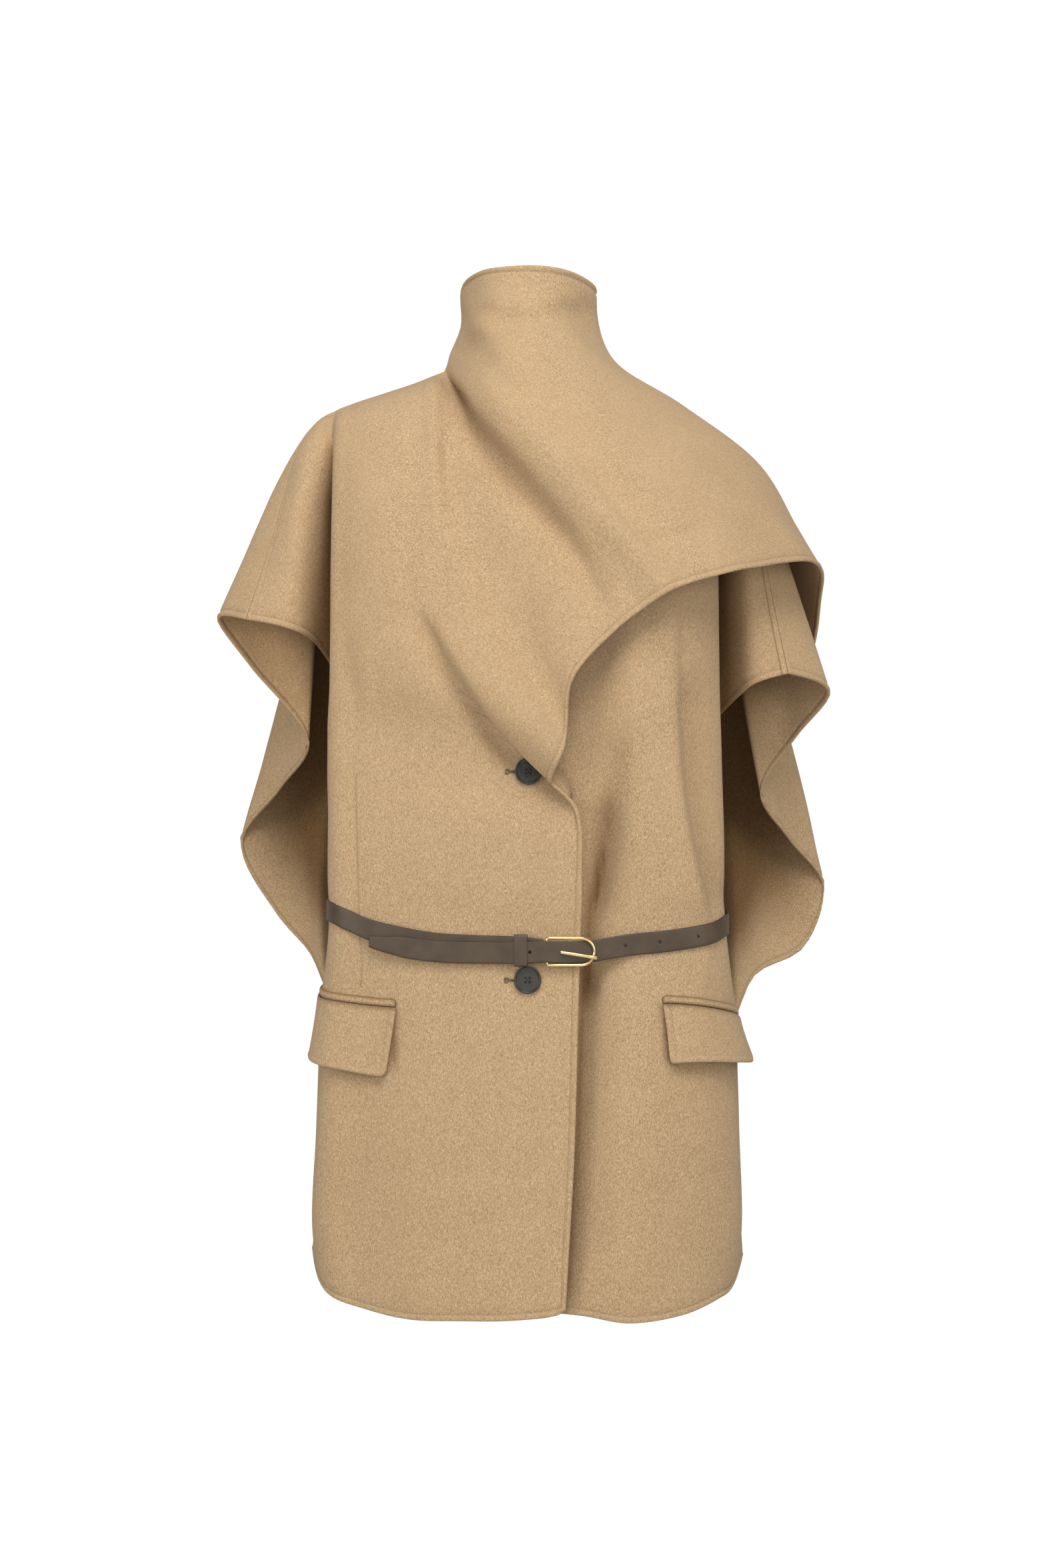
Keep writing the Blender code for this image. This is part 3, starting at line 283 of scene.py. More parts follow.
# The left front, from its covered edge to the ridge at its side and the wing over the arm
LEFT_BODY = (
    Left("edge", (-18, -54, -80), (-24, -64, -118), (-30, -82, -190), (-30, -92, -300),
        (-30, -92, -385), (-30, -92, -472), (-30, -91, -522), (-30, -94, -590), (-28, -102, -720),
        (-26, -104, -805), (-24, -105, -862)),
    Left("under", (20, -48, -54), (18, -74, -118), (15, -92, -190), (14, -96, -300),
        (12, -95, -385), (14, -94, -470), (14, -93, -522), (14, -97, -589), (12, -105, -720),
        (12, -107, -806), (12, -110, -868)),
    Left("shade", (50, -30, -22), (56, -82, -118), (60, -103, -190), (62, -101, -300),
        (58, -96, -385), (62, -92, -470), (60, -94, -522), (60, -97, -588), (56, -105, -720),
        (54, -108, -808), (52, -112, -871)),
    Left("front", 130.0, (95, -86, -118), (98, -108, -190), (100, -114, -300), (98, -112, -385),
        (98, -108, -470), (98, -104, -520), (98, -110, -590), (94, -118, -722), (92, -120, -810),
        (92, -120, -876)),
    Left("pleat", 84.0, (130, -76, -118), (134, -100, -190), (134, -104, -300), (139, -104, -385),
        (153, -102, -470), (160, -94, -518), (150, -98, -596), (140, -104, -720), (142, -104, -806),
        (142, -104, -871)),
    Left("side", 48.0, (155, -60, -118), (158, -82, -190), (156, -90, -300), (158, -92, -385),
        (167, -92, -470), (171, -86, -517), (172, -82, -598), (172, -84, -718), (176, -82, -803),
        (175, -76, -861)),
    Left("ridge", 18.0, (175, -42, -118), (174, -58, -190), (175, -64, -300), (177, -70, -385),
        (180, -74, -470), (180, -73, -517), (186, -62, -590), (191, -57, -716), (194, -55, -800),
        (187, -50, -857)),
    Left("hollow", 13.0, (178, -10, -118), (173, -4, -190), (169, -2, -335), (170, 0, -385),
        (171, 8, -466), (172, 10, -520), *LEFT_SIDE),
)
LEFT_WING = (
    Left("trough", 8.5, (190, -18, -118), (192, -24, -200), (199, -24, -306)),
    Left("swell", 4.5, (200, -26, -118), (206, -40, -190), (214, -46, -294)),
    Left("seam", 0.0, -57.0, -133.0, -235.0),
)

Back = namedtuple("Back", "name seam nape blade waist_top loin hip skirt low hem",
                   defaults=[None] * 3)
BACK_STEPS = (4, 4, 5, 4, 4, 4, 3, 2)

# The back's wings: each free edge falls in a cascade, from the tip at the end of the wing's
# seam in to the nose, out to the widest point and in again to the side seam.
BACK_RIGHT_WING = (
    Back("seam", 0.0, -38.0, -84.0, -147.0, None, -213.0),
    Back("tip", 4.0, (-216, 6, -72), (-240, 7, -115), (-265, 6, -172), None, (-292, 4, -233)),
    Back("fall", 9.5, (-206, 22, -75), (-224, 32, -130), (-244, 38, -200), None, (-265, 40, -276)),
    Back("nose", 15.5, (-192, 26, -80), (-198, 32, -150), (-203, 34, -240), None, (-210, 50, -350)),
    Back("return", 23.0, (-185, 40, -82), (-200, 62, -165), (-218, 70, -275), None,
        (-238, 76, -392)),
    Back("widest", 31.0, (-180, 50, -78), (-204, 84, -170), (-237, 99, -295), None,
        (-280, 106, -449)),
    Back("under", 43.0, (-166, 56, -68), (-187, 107, -175), (-206, 122, -325), (-235, 120, -440),
        (-245, 98, -515)),
    Back("tuck", 52.0, (-157, 58, -62), (-179, 112, -180), (-196, 124, -340), (-214, 112, -465),
        (-211, 66, -551)),
)
BACK_BODY = (
    Back("side_right", 61.0, (-147, 60, -56), (-169, 115, -185), (-186, 124, -350),
        (-200, 98, -480), *RIGHT_SIDE),
    Back("right", 84.0, (-122, 66, -48), (-140, 122, -190), (-158, 132, -350), (-172, 124, -485),
        (-182, 72, -588), (-186, 70, -715), (-188, 72, -798), (-176, 72, -855)),
    Back("right_fold", 105.0, (-94, 74, -42), (-104, 128, -195), (-120, 137, -350),
        (-134, 134, -488), (-142, 112, -589), (-146, 110, -716), (-148, 112, -806),
        (-142, 112, -870)),
    Back("neck_right", 126.0, (-66, 82, -40), (-68, 131, -198), (-76, 132, -350), (-84, 130, -490),
        (-90, 122, -590), (-92, 122, -718), (-94, 124, -808), (-92, 124, -874)),
    Back("neck_low_right", (-44, 66, 10), (-38, 96, -40), (-34, 133, -198), (-36, 138, -350),
        (-40, 136, -490), (-44, 130, -590), (-46, 130, -718), (-46, 132, -808), (-46, 132, -875)),
    Back("middle", (0, 84, 12), (0, 104, -40), (2, 132, -198), (4, 132, -350), (4, 130, -490),
        (2, 126, -590), (2, 124, -718), (2, 126, -808), (2, 126, -875)),
    Back("neck_low_left", (44, 66, 9), (38, 96, -42), (38, 133, -198), (42, 137, -350),
        (48, 136, -490), (48, 130, -590), (50, 131, -718), (50, 133, -808), (50, 133, -875)),
    Back("neck_left", 130.0, (66, 82, -46), (74, 129, -198), (84, 131, -350), (92, 128, -490),
        (94, 122, -590), (96, 121, -718), (98, 122, -808), (98, 122, -874)),
    Back("left_fold", 98.0, (94, 74, -52), (108, 126, -200), (126, 137, -350), (140, 134, -488),
        (146, 112, -592), (150, 111, -716), (152, 113, -806), (144, 113, -870)),
    Back("left", 78.0, (120, 66, -62), (142, 119, -200), (162, 131, -350), (176, 124, -485),
        (186, 72, -600), (189, 70, -715), (191, 72, -800), (180, 72, -857)),
    Back("side_left", 58.0, (143, 60, -72), (167, 113, -202), (190, 123, -352), (202, 100, -485),
        *LEFT_SIDE),
)
BACK_LEFT_WING = (
    Back("tuck", 49.0, (154, 58, -78), (177, 110, -202), (202, 123, -345), (224, 114, -475),
        (222, 62, -571)),
    Back("under", 41.0, (163, 56, -84), (187, 105, -202), (214, 121, -340), (248, 120, -460),
        (271, 94, -547)),
    Back("widest", 30.0, (178, 50, -96), (208, 84, -202), (250, 98, -325), None, (291, 106, -491)),
    Back("return", 22.5, (180, 40, -104), (198, 62, -195), (222, 70, -315), None, (253, 80, -441)),
    Back("nose", 15.0, (188, 26, -106), (196, 28, -185), (205, 26, -292), None, (225, 50, -398)),
    Back("fall", 9.0, (202, 22, -106), (222, 31, -170), (240, 36, -250), None, (257, 37, -344)),
    Back("tip", 4.0, (212, 5, -104), (236, 6, -156), (261, 6, -228), None, (285, 3, -303)),
    Back("seam", 0.0, -36.0, -79.0, -148.0, None, -235.0),
)

# The stand round the back of the neck, from just inside the neckline up to the rim
Stand = namedtuple("Stand", "name neckline middle rim")
STAND_STEPS = (4, 4)
BACK_COLLAR = (
    Stand("right_seam", (-75.5, 16, 8), (-61.5, 16, 47), (-61, 16, 82)),
    Stand("right", (-69, 37, 9.8), (-56, 36, 46), (-54.5, 36, 82)),
    Stand("back_right", (-43.5, 65.5, 12.6), (-35, 61, 46), (-34, 60, 81)),
    Stand("back", (0, 83.5, 15), (0, 71, 46), (0, 66, 80)),
    Stand("back_left", (43.5, 65.5, 12.2), (35, 58, 46), (32, 57, 80)),
    Stand("left", (66, 36, 10), (56, 28, 46), (52, 30, 80)),
    Stand("left_end", (60, -14, 8), (54, -14, 46), (50, -12, 80)),
)

# Fine lofts: places near each border, as distances in from it, then steps of about SPACING
INSETS = (0.0, 0.16, 0.6, 1.25, 3.2, 5.2, 6.2, 7.2, 9.4)
# What is left at least between the insets of a narrow strip's two sides
INSET_ROOM = 0.4
SPACING = 6.0
COLLAR_SPACING = 4.0
# How far the fronts and the back each keep from a seam's own path
SEAM_CLOSE = 0.03
# Samples in each CAD step, and four times as many to measure a whole line
SAMPLES = 24
# The CAD steps over which the slope at the end of a line that stops is let go
DROP_BLEND = 2.0
# How near a seam's path a border is sewn, the steps along it, and its samples
SEWN_REACH = 2.6
SEWN_STEP = 1.5
SEWN_SAMPLES = 120
# Points whose distances are measured at once
CHUNK = 400

# Edges: soft at the very edge, and stitched a little way in, where the wall is drawn in
STITCH_INSET = 6.2
STITCH_WIDTH = 1.3
STITCH_DEPTH = 0.8
EDGE_PUFF = 0.55
PUFF_INSET = 3.0
PUFF_WIDTH = 2.2
# How deep the line stitched beside its seams is in each front, and how much a flap's edge has
SEAM_STITCH = {"left_front": 0.7, "right_front": 0.16}
FLAP_STITCH = 0.35
# A welt is one soft roll: how far it swells, and how far in from its edges
WELT_SWELL = 0.9
WELT_ROUND = 3.4
# Shade beside a welt's edge, and at the top of a flap, under the welt's swell
WELT_SHADE = 0.95
WELT_SHADE_WIDTH = 1.5
FLAP_SHADE = 0.7
FLAP_SHADE_WIDTH = 2.6

# Painted shade deep in the folds: how far in from a free edge the cloth's inner face is in full
# shade, and the hollows beside the body, by depth, height and distance across
INSIDE_FROM = 10.0
INSIDE_DEEP = 125.0
INSIDE_SPREAD = 2.2
HOLLOW_DEPTHS = (-40.0, -16.0)
HOLLOW_BACK = 20
HOLLOW_TOPS = (-85.0, -130.0)
HOLLOW_FEET = (-480.0, -400.0)
HOLLOW_REACH = 208.0
# The distance that stands for any that is too far to matter
FAR = 60.0

Smooth = namedtuple("Smooth", "points gaps tangents")


def smoothstep(share):
    return share * share * (3 - 2 * share)


def eased(values, start, stop):
    """From 0 at start to 1 at stop, softly."""
    return smoothstep(np.clip((values - start) / (stop - start), 0, 1))


def bell(offset, width):
    return np.exp(-((offset / width) ** 2))


def unit(vectors):
    size = np.linalg.norm(vectors, axis=-1, keepdims=True)
    return vectors / np.maximum(size, 1e-12)


def smooth_curve(points):
    """The smooth curve of the tables, through its points, which are counted from 0."""
    points = np.asarray(points, float)
    gaps = np.sqrt(np.linalg.norm(np.diff(points, axis=0), axis=1))[:, None]
    gaps = np.maximum(gaps, 1e-6)
    slopes = np.diff(points, axis=0) / gaps
    tangents = np.empty_like(points)
    if len(points) == 2:
        tangents[:] = slopes
        return Smooth(points, gaps, tangents)
    tangents[1:-1] = (slopes[:-1] * gaps[1:] + slopes[1:] * gaps[:-1]) / (gaps[1:] + gaps[:-1])
    tangents[0] = 1.5 * slopes[0] - 0.5 * tangents[1]
    tangents[-1] = 1.5 * slopes[-1] - 0.5 * tangents[-2]
    return Smooth(points, gaps, tangents)


def at(curve, places):
    """Points of a smooth curve at these places along it."""
    places = np.clip(np.asarray(places, float), 0, len(curve.points) - 1)
    i = np.minimum(places.astype(int), len(curve.points) - 2)
    t = (places - i)[:, None]
    gap = curve.gaps[i]
    ways = curve.tangents
    start = (2 * t**3 - 3 * t**2 + 1) * curve.points[i] + (t**3 - 2 * t**2 + t) * gap * ways[i]
    end = (3 * t**2 - 2 * t**3) * curve.points[i + 1] + (t**3 - t**2) * gap * ways[i + 1]
    return start + end


def sampled(points, count):
    """The smooth curve through points, at this many even places."""
    return at(smooth_curve(points), np.linspace(0, len(points) - 1, count))


def lengths(points):
    return np.concatenate([[0.0], np.cumsum(np.linalg.norm(np.diff(points, axis=0), axis=1))])


def along_path(distances, along, path):
    return np.stack([np.interp(distances, along, column) for column in path.T], axis=-1)


def distances_to(points, others):
    """How far each point is from the nearest of the others."""
    return np.concatenate([np.sqrt(((part[:, None] - others[None]) ** 2).sum(axis=2).min(axis=1))
                           for part in np.array_split(points, max(1, len(points) // CHUNK))])


def at_insets(along, places):
    """The places at the insets from both ends of a line with these lengths along it."""
    ends = along[-1] - np.array(INSETS[::-1])
    return np.interp(INSETS, along, places), np.interp(ends, along, places)


class Seam:
    """A seam path, and the points at distances along it from the shoulder's tip."""

    def __init__(self, points):
        self.path = sampled(points, SEAM_SAMPLES * (len(points) - 1) + 1)
        self.along = lengths(self.path)
        self.along -= self.along[SEAM_SAMPLES * TIP]

    def point(self, distance, away):
        return along_path(distance, self.along, self.path) + (0, away, 0)


SEAM_RIGHT = Seam(RIGHT_SEAM)
SEAM_LEFT = Seam(LEFT_SEAM)


class FoldLine:
    """One row of a table as a curve down the cloth, whose places are CAD steps."""

    def __init__(self, cells, steps, seam, away):
        given = [i for i, cell in enumerate(cells) if cell is not None]
        self.rows = np.concatenate([[0], np.cumsum(steps)])[given]
        self.end = self.rows[-1]
        cells = [cells[i] for i in given]
        self.seam, self.away = seam, away
        self.on_seam = all(isinstance(cell, float) for cell in cells)
        if self.on_seam:
            self.cells = np.array(cells)
            return
        points = [seam.point(cell, away) if isinstance(cell, float) else np.array(cell, float)
                  for cell in cells]
        self.corner = next((i for i, cell in enumerate(cells) if isinstance(cell, Corner)), None)
        if self.corner is not None:
            points[self.corner:] = [point + (0, away, 0) for point in points[self.corner:]]
            self.side = smooth_curve(points[self.corner:])
            points = points[:self.corner + 1]
        self.curve = smooth_curve(points)

    def at(self, rows):
        rows = np.asarray(rows, float)
        if self.on_seam:
            return self.seam.point(np.interp(rows, self.rows, self.cells), self.away)
        places = np.interp(rows, self.rows, np.arange(len(self.rows)))
        points = at(self.curve, np.minimum(places, len(self.curve.points) - 1))
        if self.corner is not None:
            below = places > self.corner
            points[below] = at(self.side, places[below] - self.corner)
        return points

    def spread(self, start, stop, middle):
        """Places from start to stop with the insets at both ends and even steps between."""
        rows = np.linspace(start, stop, int((stop - start) * SAMPLES) + 1)
        first, last = at_insets(lengths(self.at(rows)), rows)
        return np.concatenate([first, np.linspace(first[-1], last[0], middle + 1)[1:-1], last])


def spread_across(curve, a, b, counts, first):
    """Places from key line a to b: insets at both ends, and each gap's own steps between."""
    inner = np.concatenate([np.arange(counts[k]) / counts[k] + k for k in range(a, b)] + [[b]])
    places = np.linspace(a, b, (b - a) * SAMPLES + 1)
    low, high = at_insets(lengths(at(curve, places - first)), places)
    inner = low[-1] + (inner - a) / (b - a) * (high[0] - low[-1])
    return np.concatenate([low, inner[1:-1], high])


def block_starts(counts):
    """Where blocks of so many steps each, with the insets at both their ends, start in a row."""
    return np.concatenate([[0], np.cumsum([count - 2 + 2 * len(INSETS) for count in counts])])


def fine_loft(rows, steps, seams, away, stations, key_lines, spacing=SPACING):
    """A fine grid of points through a table's fold lines, and where its key lines are in it.

    Borders lie at the stations and key lines. Past a short line's end the grid holds NaN."""
    lines = [FoldLine(row[1:], steps, seam, away) for row, seam in zip(rows, seams)]
    longest = max(lines, key=lambda line: line.end)
    key_rows = [sum(steps[:station]) for station in stations]
    blocks = []
    for a, b in zip(key_rows, key_rows[1:]):
        along = lengths(longest.at(np.linspace(a, b, SAMPLES * 4)))[-1]
        blocks.append((a, b, max(4, round((along - 2 * INSETS[-1]) / spacing))))
    starts = block_starts(count for _, _, count in blocks)
    table = np.full((starts[-1] + 1, len(lines), 3), np.nan)
    cad_rows = np.full(table.shape[:2], np.nan)
    for j, line in enumerate(lines):
        for start, (a, b, count) in zip(starts, blocks):
            if b <= line.end:
                part = line.spread(a, b, count)
                table[start:start + len(part), j] = line.at(part)
                cad_rows[start:start + len(part), j] = part
    down = np.nanmin(cad_rows, axis=1)
    widths = np.nanmean(np.linalg.norm(np.diff(table, axis=1), axis=2), axis=0)
    counts = np.maximum(2, np.round(widths / spacing)).astype(int)
    spans = list(zip(key_lines, key_lines[1:]))
    across_starts = block_starts(sum(counts[a:b]) for a, b in spans)
    grid = np.full((len(table), across_starts[-1] + 1, 3), np.nan)
    places = np.full(grid.shape[:2], np.nan)

    # Where a line at either end stops, its curve's slope there is let go over a few steps
    frozen, before = {}, None
    for i, row in enumerate(table):
        present = np.flatnonzero(~np.isnan(row[:, 0]))
        first, last = present[0], present[-1]
        curve = smooth_curve(row[first:last + 1])
        if before is not None:
            for end, line, dropped in ((0, first, first > before[0]),
                                       (-1, last, last < before[1])):
                if dropped:
                    frozen[end] = (before[2].tangents[line - before[0]].copy(), down[i])
        for end, (kept, since) in frozen.items():
            share = smoothstep(np.clip(1 - (down[i] - since) / DROP_BLEND, 0, 1))
            curve.tangents[end] = kept * share + curve.tangents[end] * (1 - share)
        before = (first, last, curve)
        for start, (a, b) in zip(across_starts, spans):
            if first <= a and b <= last:
                part = spread_across(curve, a, b, counts, first)
                grid[i, start:start + len(part)] = at(curve, part - first)
                places[i, start:start + len(part)] = part

    # The top row lies on the seam's own path between two cells that are on it
    shift = np.zeros((grid.shape[1], 3))
    for j, place in enumerate(places[0]):
        k = min(int(place), len(lines) - 2)
        a, b = rows[k][1], rows[k + 1][1]
        if isinstance(a, float) and isinstance(b, float):
            shift[j] = lines[k].seam.point(a + (b - a) * (place - k), away) - grid[0, j]
    return grid + shift[None] * np.clip(1 - down, 0, 1)[:, None, None], across_starts


def between(ridge, tuck, share, depth_share):
    """A cell between two cells, with a share of its own for the depth."""
    if isinstance(ridge, float):
        return ridge + (tuck - ridge) * share
    x, z = (ridge[i] + (tuck[i] - ridge[i]) * share for i in (0, 2))
    return (x, ridge[1] + (tuck[1] - ridge[1]) * depth_share, z)


def body_between(ridge, tuck):
    """The fold lines across the right front's body, rounded from the ridge to the tuck."""
    rows = []
    for share, hem_sag in BODY_BETWEEN:
        rounding = 1 - (1 - share) ** BODY_ROUNDING
        cells = [between(a, b, share, rounding) for a, b in zip(ridge[1:], tuck[1:])]
        x, y, z = cells[-1]
        rows.append(Front(f"front_{share}", *cells[:-1], (x, y, z - hem_sag)))
    return rows


def right_front_loft():
    hollow, ridge, tuck, roll = RIGHT_BODY
    rows = [*RIGHT_WING, hollow, ridge, *body_between(ridge, tuck), tuck, roll, *SCARF]
    keys = [0, rows.index(hollow), rows.index(roll), len(rows) - 1]
    return fine_loft(rows, FRONT_STEPS, [SEAM_RIGHT] * len(rows), -SEAM_CLOSE, (0, 4, 6, 13), keys)


def left_front_loft():
    rows = [*LEFT_BODY, *LEFT_WING]
    keys = [0, len(LEFT_BODY) - 1, len(rows) - 1]
    return fine_loft(rows, LEFT_STEPS, [SEAM_LEFT] * len(rows), -SEAM_CLOSE, (0, 3, 10), keys)


def back_loft():
    rows = [*BACK_RIGHT_WING, *BACK_BODY, *BACK_LEFT_WING]
    middle = [row.name for row in rows].index("middle")
    seams = [SEAM_RIGHT if i < middle else SEAM_LEFT for i in range(len(rows))]
    side = len(BACK_RIGHT_WING)
    keys = [0, side, side + len(BACK_BODY) - 1, len(rows) - 1]
    return fine_loft(rows, BACK_STEPS, seams, SEAM_CLOSE, (0, 5, 8), keys)


def collar_loft():
    seams = [None] * len(BACK_COLLAR)
    keys = [0, len(BACK_COLLAR) - 1]
    return fine_loft(BACK_COLLAR, STAND_STEPS, seams, 0.0, (0, 2), keys, COLLAR_SPACING)


def evenly(path, step):
    """A path's points again, at even steps along it."""
    along = lengths(path)
    return along_path(np.linspace(0, along[-1], round(along[-1] / step) + 1), along, path)


# Points along the seams, by which a border is known to be sewn
NECK_ROW = [SEAM_RIGHT.point(BACK_BODY[3].seam, 0), *(row.seam for row in BACK_BODY[4:7]),
            SEAM_LEFT.point(BACK_BODY[7].seam, 0)]
SEWN = [SEAM_RIGHT.path, SEAM_LEFT.path, sampled(BACK_COLLAR[0][1:], SEWN_SAMPLES // 2)]
SEWN += [sampled(path, SEWN_SAMPLES)
         for path in (RIGHT_SIDE, LEFT_SIDE, NECK_ROW, [row.neckline for row in BACK_COLLAR])]
SEWN = np.concatenate([evenly(path, SEWN_STEP) for path in SEWN])


class Cloth:
    """A grid of points with its faces, normals, and distances from its borders."""

    def __init__(self, grid, flip, sewn_top=False):
        self.grid = grid
        self.whole = ~np.isnan(grid[..., 0])
        self.index = i = np.full(self.whole.shape, -1)
        i[self.whole] = np.arange(self.whole.sum())
        quads = np.stack([i[:-1, :-1], i[1:, :-1], i[1:, 1:], i[:-1, 1:]], axis=-1).reshape(-1, 4)
        self.quads = quads[(quads >= 0).all(axis=1)]
        if flip:
            self.quads = self.quads[:, ::-1]
        self.points = grid[self.whole]
        self.find_borders(sewn_top)

    def crosses(self):
        """Each face's normal, twice as long as its area."""
        a, b, c, d = (self.points[self.quads[:, k]] for k in range(4))
        return np.cross(c - a, d - b)

    def normals(self):
        """Normals of the points, to which each face adds by its area."""
        crosses, total = self.crosses(), np.zeros_like(self.points)
        for k in range(4):
            np.add.at(total, self.quads[:, k], crosses)
        return unit(total)

    def area(self):
        return float(np.linalg.norm(self.crosses(), axis=1).sum() / 2) * MM * MM

    def find_borders(self, sewn_top):
        """How far each point is from a border, a free edge and a seam, and from the top."""
        edges = np.concatenate([self.quads[:, [k, (k + 1) % 4]] for k in range(4)])
        _, where, uses = np.unique(np.sort(edges, axis=1), axis=0, return_index=True,
                                   return_counts=True)
        self.on_border = np.zeros(len(self.points), bool)
        self.on_border[edges[where[uses == 1]]] = True
        self.free = self.on_border.copy()
        self.free[self.on_border] = distances_to(self.points[self.on_border], SEWN) >= SEWN_REACH
        if sewn_top:
            self.free[self.index[0]] = False
        border, edge, seam = (np.full(self.whole.shape, np.inf) for _ in range(3))
        down = np.zeros(self.whole.shape)
        for axis in (0, 1):
            for k in range(self.whole.shape[1 - axis]):
                line = (slice(None), k) if axis == 0 else (k, slice(None))
                there = np.flatnonzero(self.whole[line])
                if len(there) < 2:
                    continue
                along = lengths(self.grid[line][there])
                ids = self.index[line][there]
                for distance, end in ((along, ids[0]), (along[-1] - along, ids[-1])):
                    if self.on_border[end]:
                        for table in (border, edge if self.free[end] else seam):
                            near = table[line]
                            near[there] = np.minimum(near[there], distance)
                if axis == 0:
                    down[line][there] = along
        self.border, self.edge, self.seam, self.down = (
            table[self.whole] for table in (border, edge, seam, down))
        self.border[self.on_border] = 0.0
        self.edge[self.free] = 0.0
        self.seam[self.on_border & ~self.free] = 0.0

    def from_free_edge(self):
        """How far each point is from the nearest point of a free edge, straight through."""
        if not self.free.any():
            return np.full(len(self.points), INSIDE_DEEP)
        return distances_to(self.points, self.points[self.free])


def hollow_shade(points):
    """How much painted shade falls on these points in the hollows beside the body, from 0 to 1."""
    x, y, z = points.T
    deep = eased(y, *HOLLOW_DEPTHS) * eased(z, *HOLLOW_TOPS)
    return deep * (y < HOLLOW_BACK) * eased(z, *HOLLOW_FEET) * (np.abs(x) < HOLLOW_REACH)


def add_values(mesh, title, values):
    """A named value at each point of a mesh, which its material reads."""
    values = np.broadcast_to(values, len(mesh.vertices)).astype(np.float32)
    mesh.attributes.new(title, "FLOAT", "POINT").data.foreach_set("value", values)


def shell_mesh(name, cloth, wall=WALL, seam_depth=0.0, stitched=1.0, welt=False, shade=0.0,
               lit=0.0):
    """A closed wall on the cloth with rounded borders, drawn in along the stitched edges."""
    radius = wall / 2
    inward = np.clip(cloth.border / radius, 0, 1)
    half = radius * np.sqrt(np.maximum(0, 1 - (1 - inward) ** 2))
    if stitched > 0:
        drawn = STITCH_DEPTH * stitched * bell(cloth.edge - STITCH_INSET, STITCH_WIDTH)
        drawn += seam_depth * bell(cloth.seam - STITCH_INSET, STITCH_WIDTH)
        puffed = 1 + EDGE_PUFF * bell(cloth.edge - PUFF_INSET, PUFF_WIDTH)
        half = half * puffed - drawn * (half > 0)
    if welt:
        half = half + WELT_SWELL * np.clip(cloth.edge / WELT_ROUND, 0, 1) ** 0.5
    half[cloth.on_border] = 0
    normals = cloth.normals()
    middle = cloth.points + normals * radius
    outer = middle + normals * half[:, None]
    inner = middle - normals * half[:, None]
    inside = ~cloth.on_border
    inner_ids = np.arange(len(middle))
    inner_ids[inside] = len(middle) + np.arange(inside.sum())
    faces = np.concatenate([cloth.quads, inner_ids[cloth.quads][:, ::-1]])
    mesh = bpy.data.meshes.new(name)
    mesh.from_pydata((np.concatenate([outer, inner[inside]]) * MM).tolist(), [], faces.tolist())
    mesh.validate()
    mesh.shade_smooth()
    # Painted shade in the hollows beside the body and where shade is given; on the inner face it
    # deepens away from the free edges
    deep = np.maximum(hollow_shade(outer), shade)
    within = np.minimum(cloth.edge, cloth.from_free_edge() * INSIDE_SPREAD)
    # What the material reads on the outer face, and on the inner face where that differs
    edge, seam = np.minimum(cloth.edge, FAR), np.minimum(cloth.seam, FAR)
    for title, face, back in (
        ("edge", edge, edge), ("seam", seam, seam), ("lit", 0.0, lit),
        ("edge_depth", stitched, stitched), ("seam_depth", seam_depth, seam_depth),
        ("shade", deep, np.maximum(deep, eased(within, INSIDE_FROM, INSIDE_DEEP))),
    ):
        face, back = (np.broadcast_to(values, len(middle)) for values in (face, back))
        add_values(mesh, title, np.concatenate([face, back[inside]]))
    return mesh


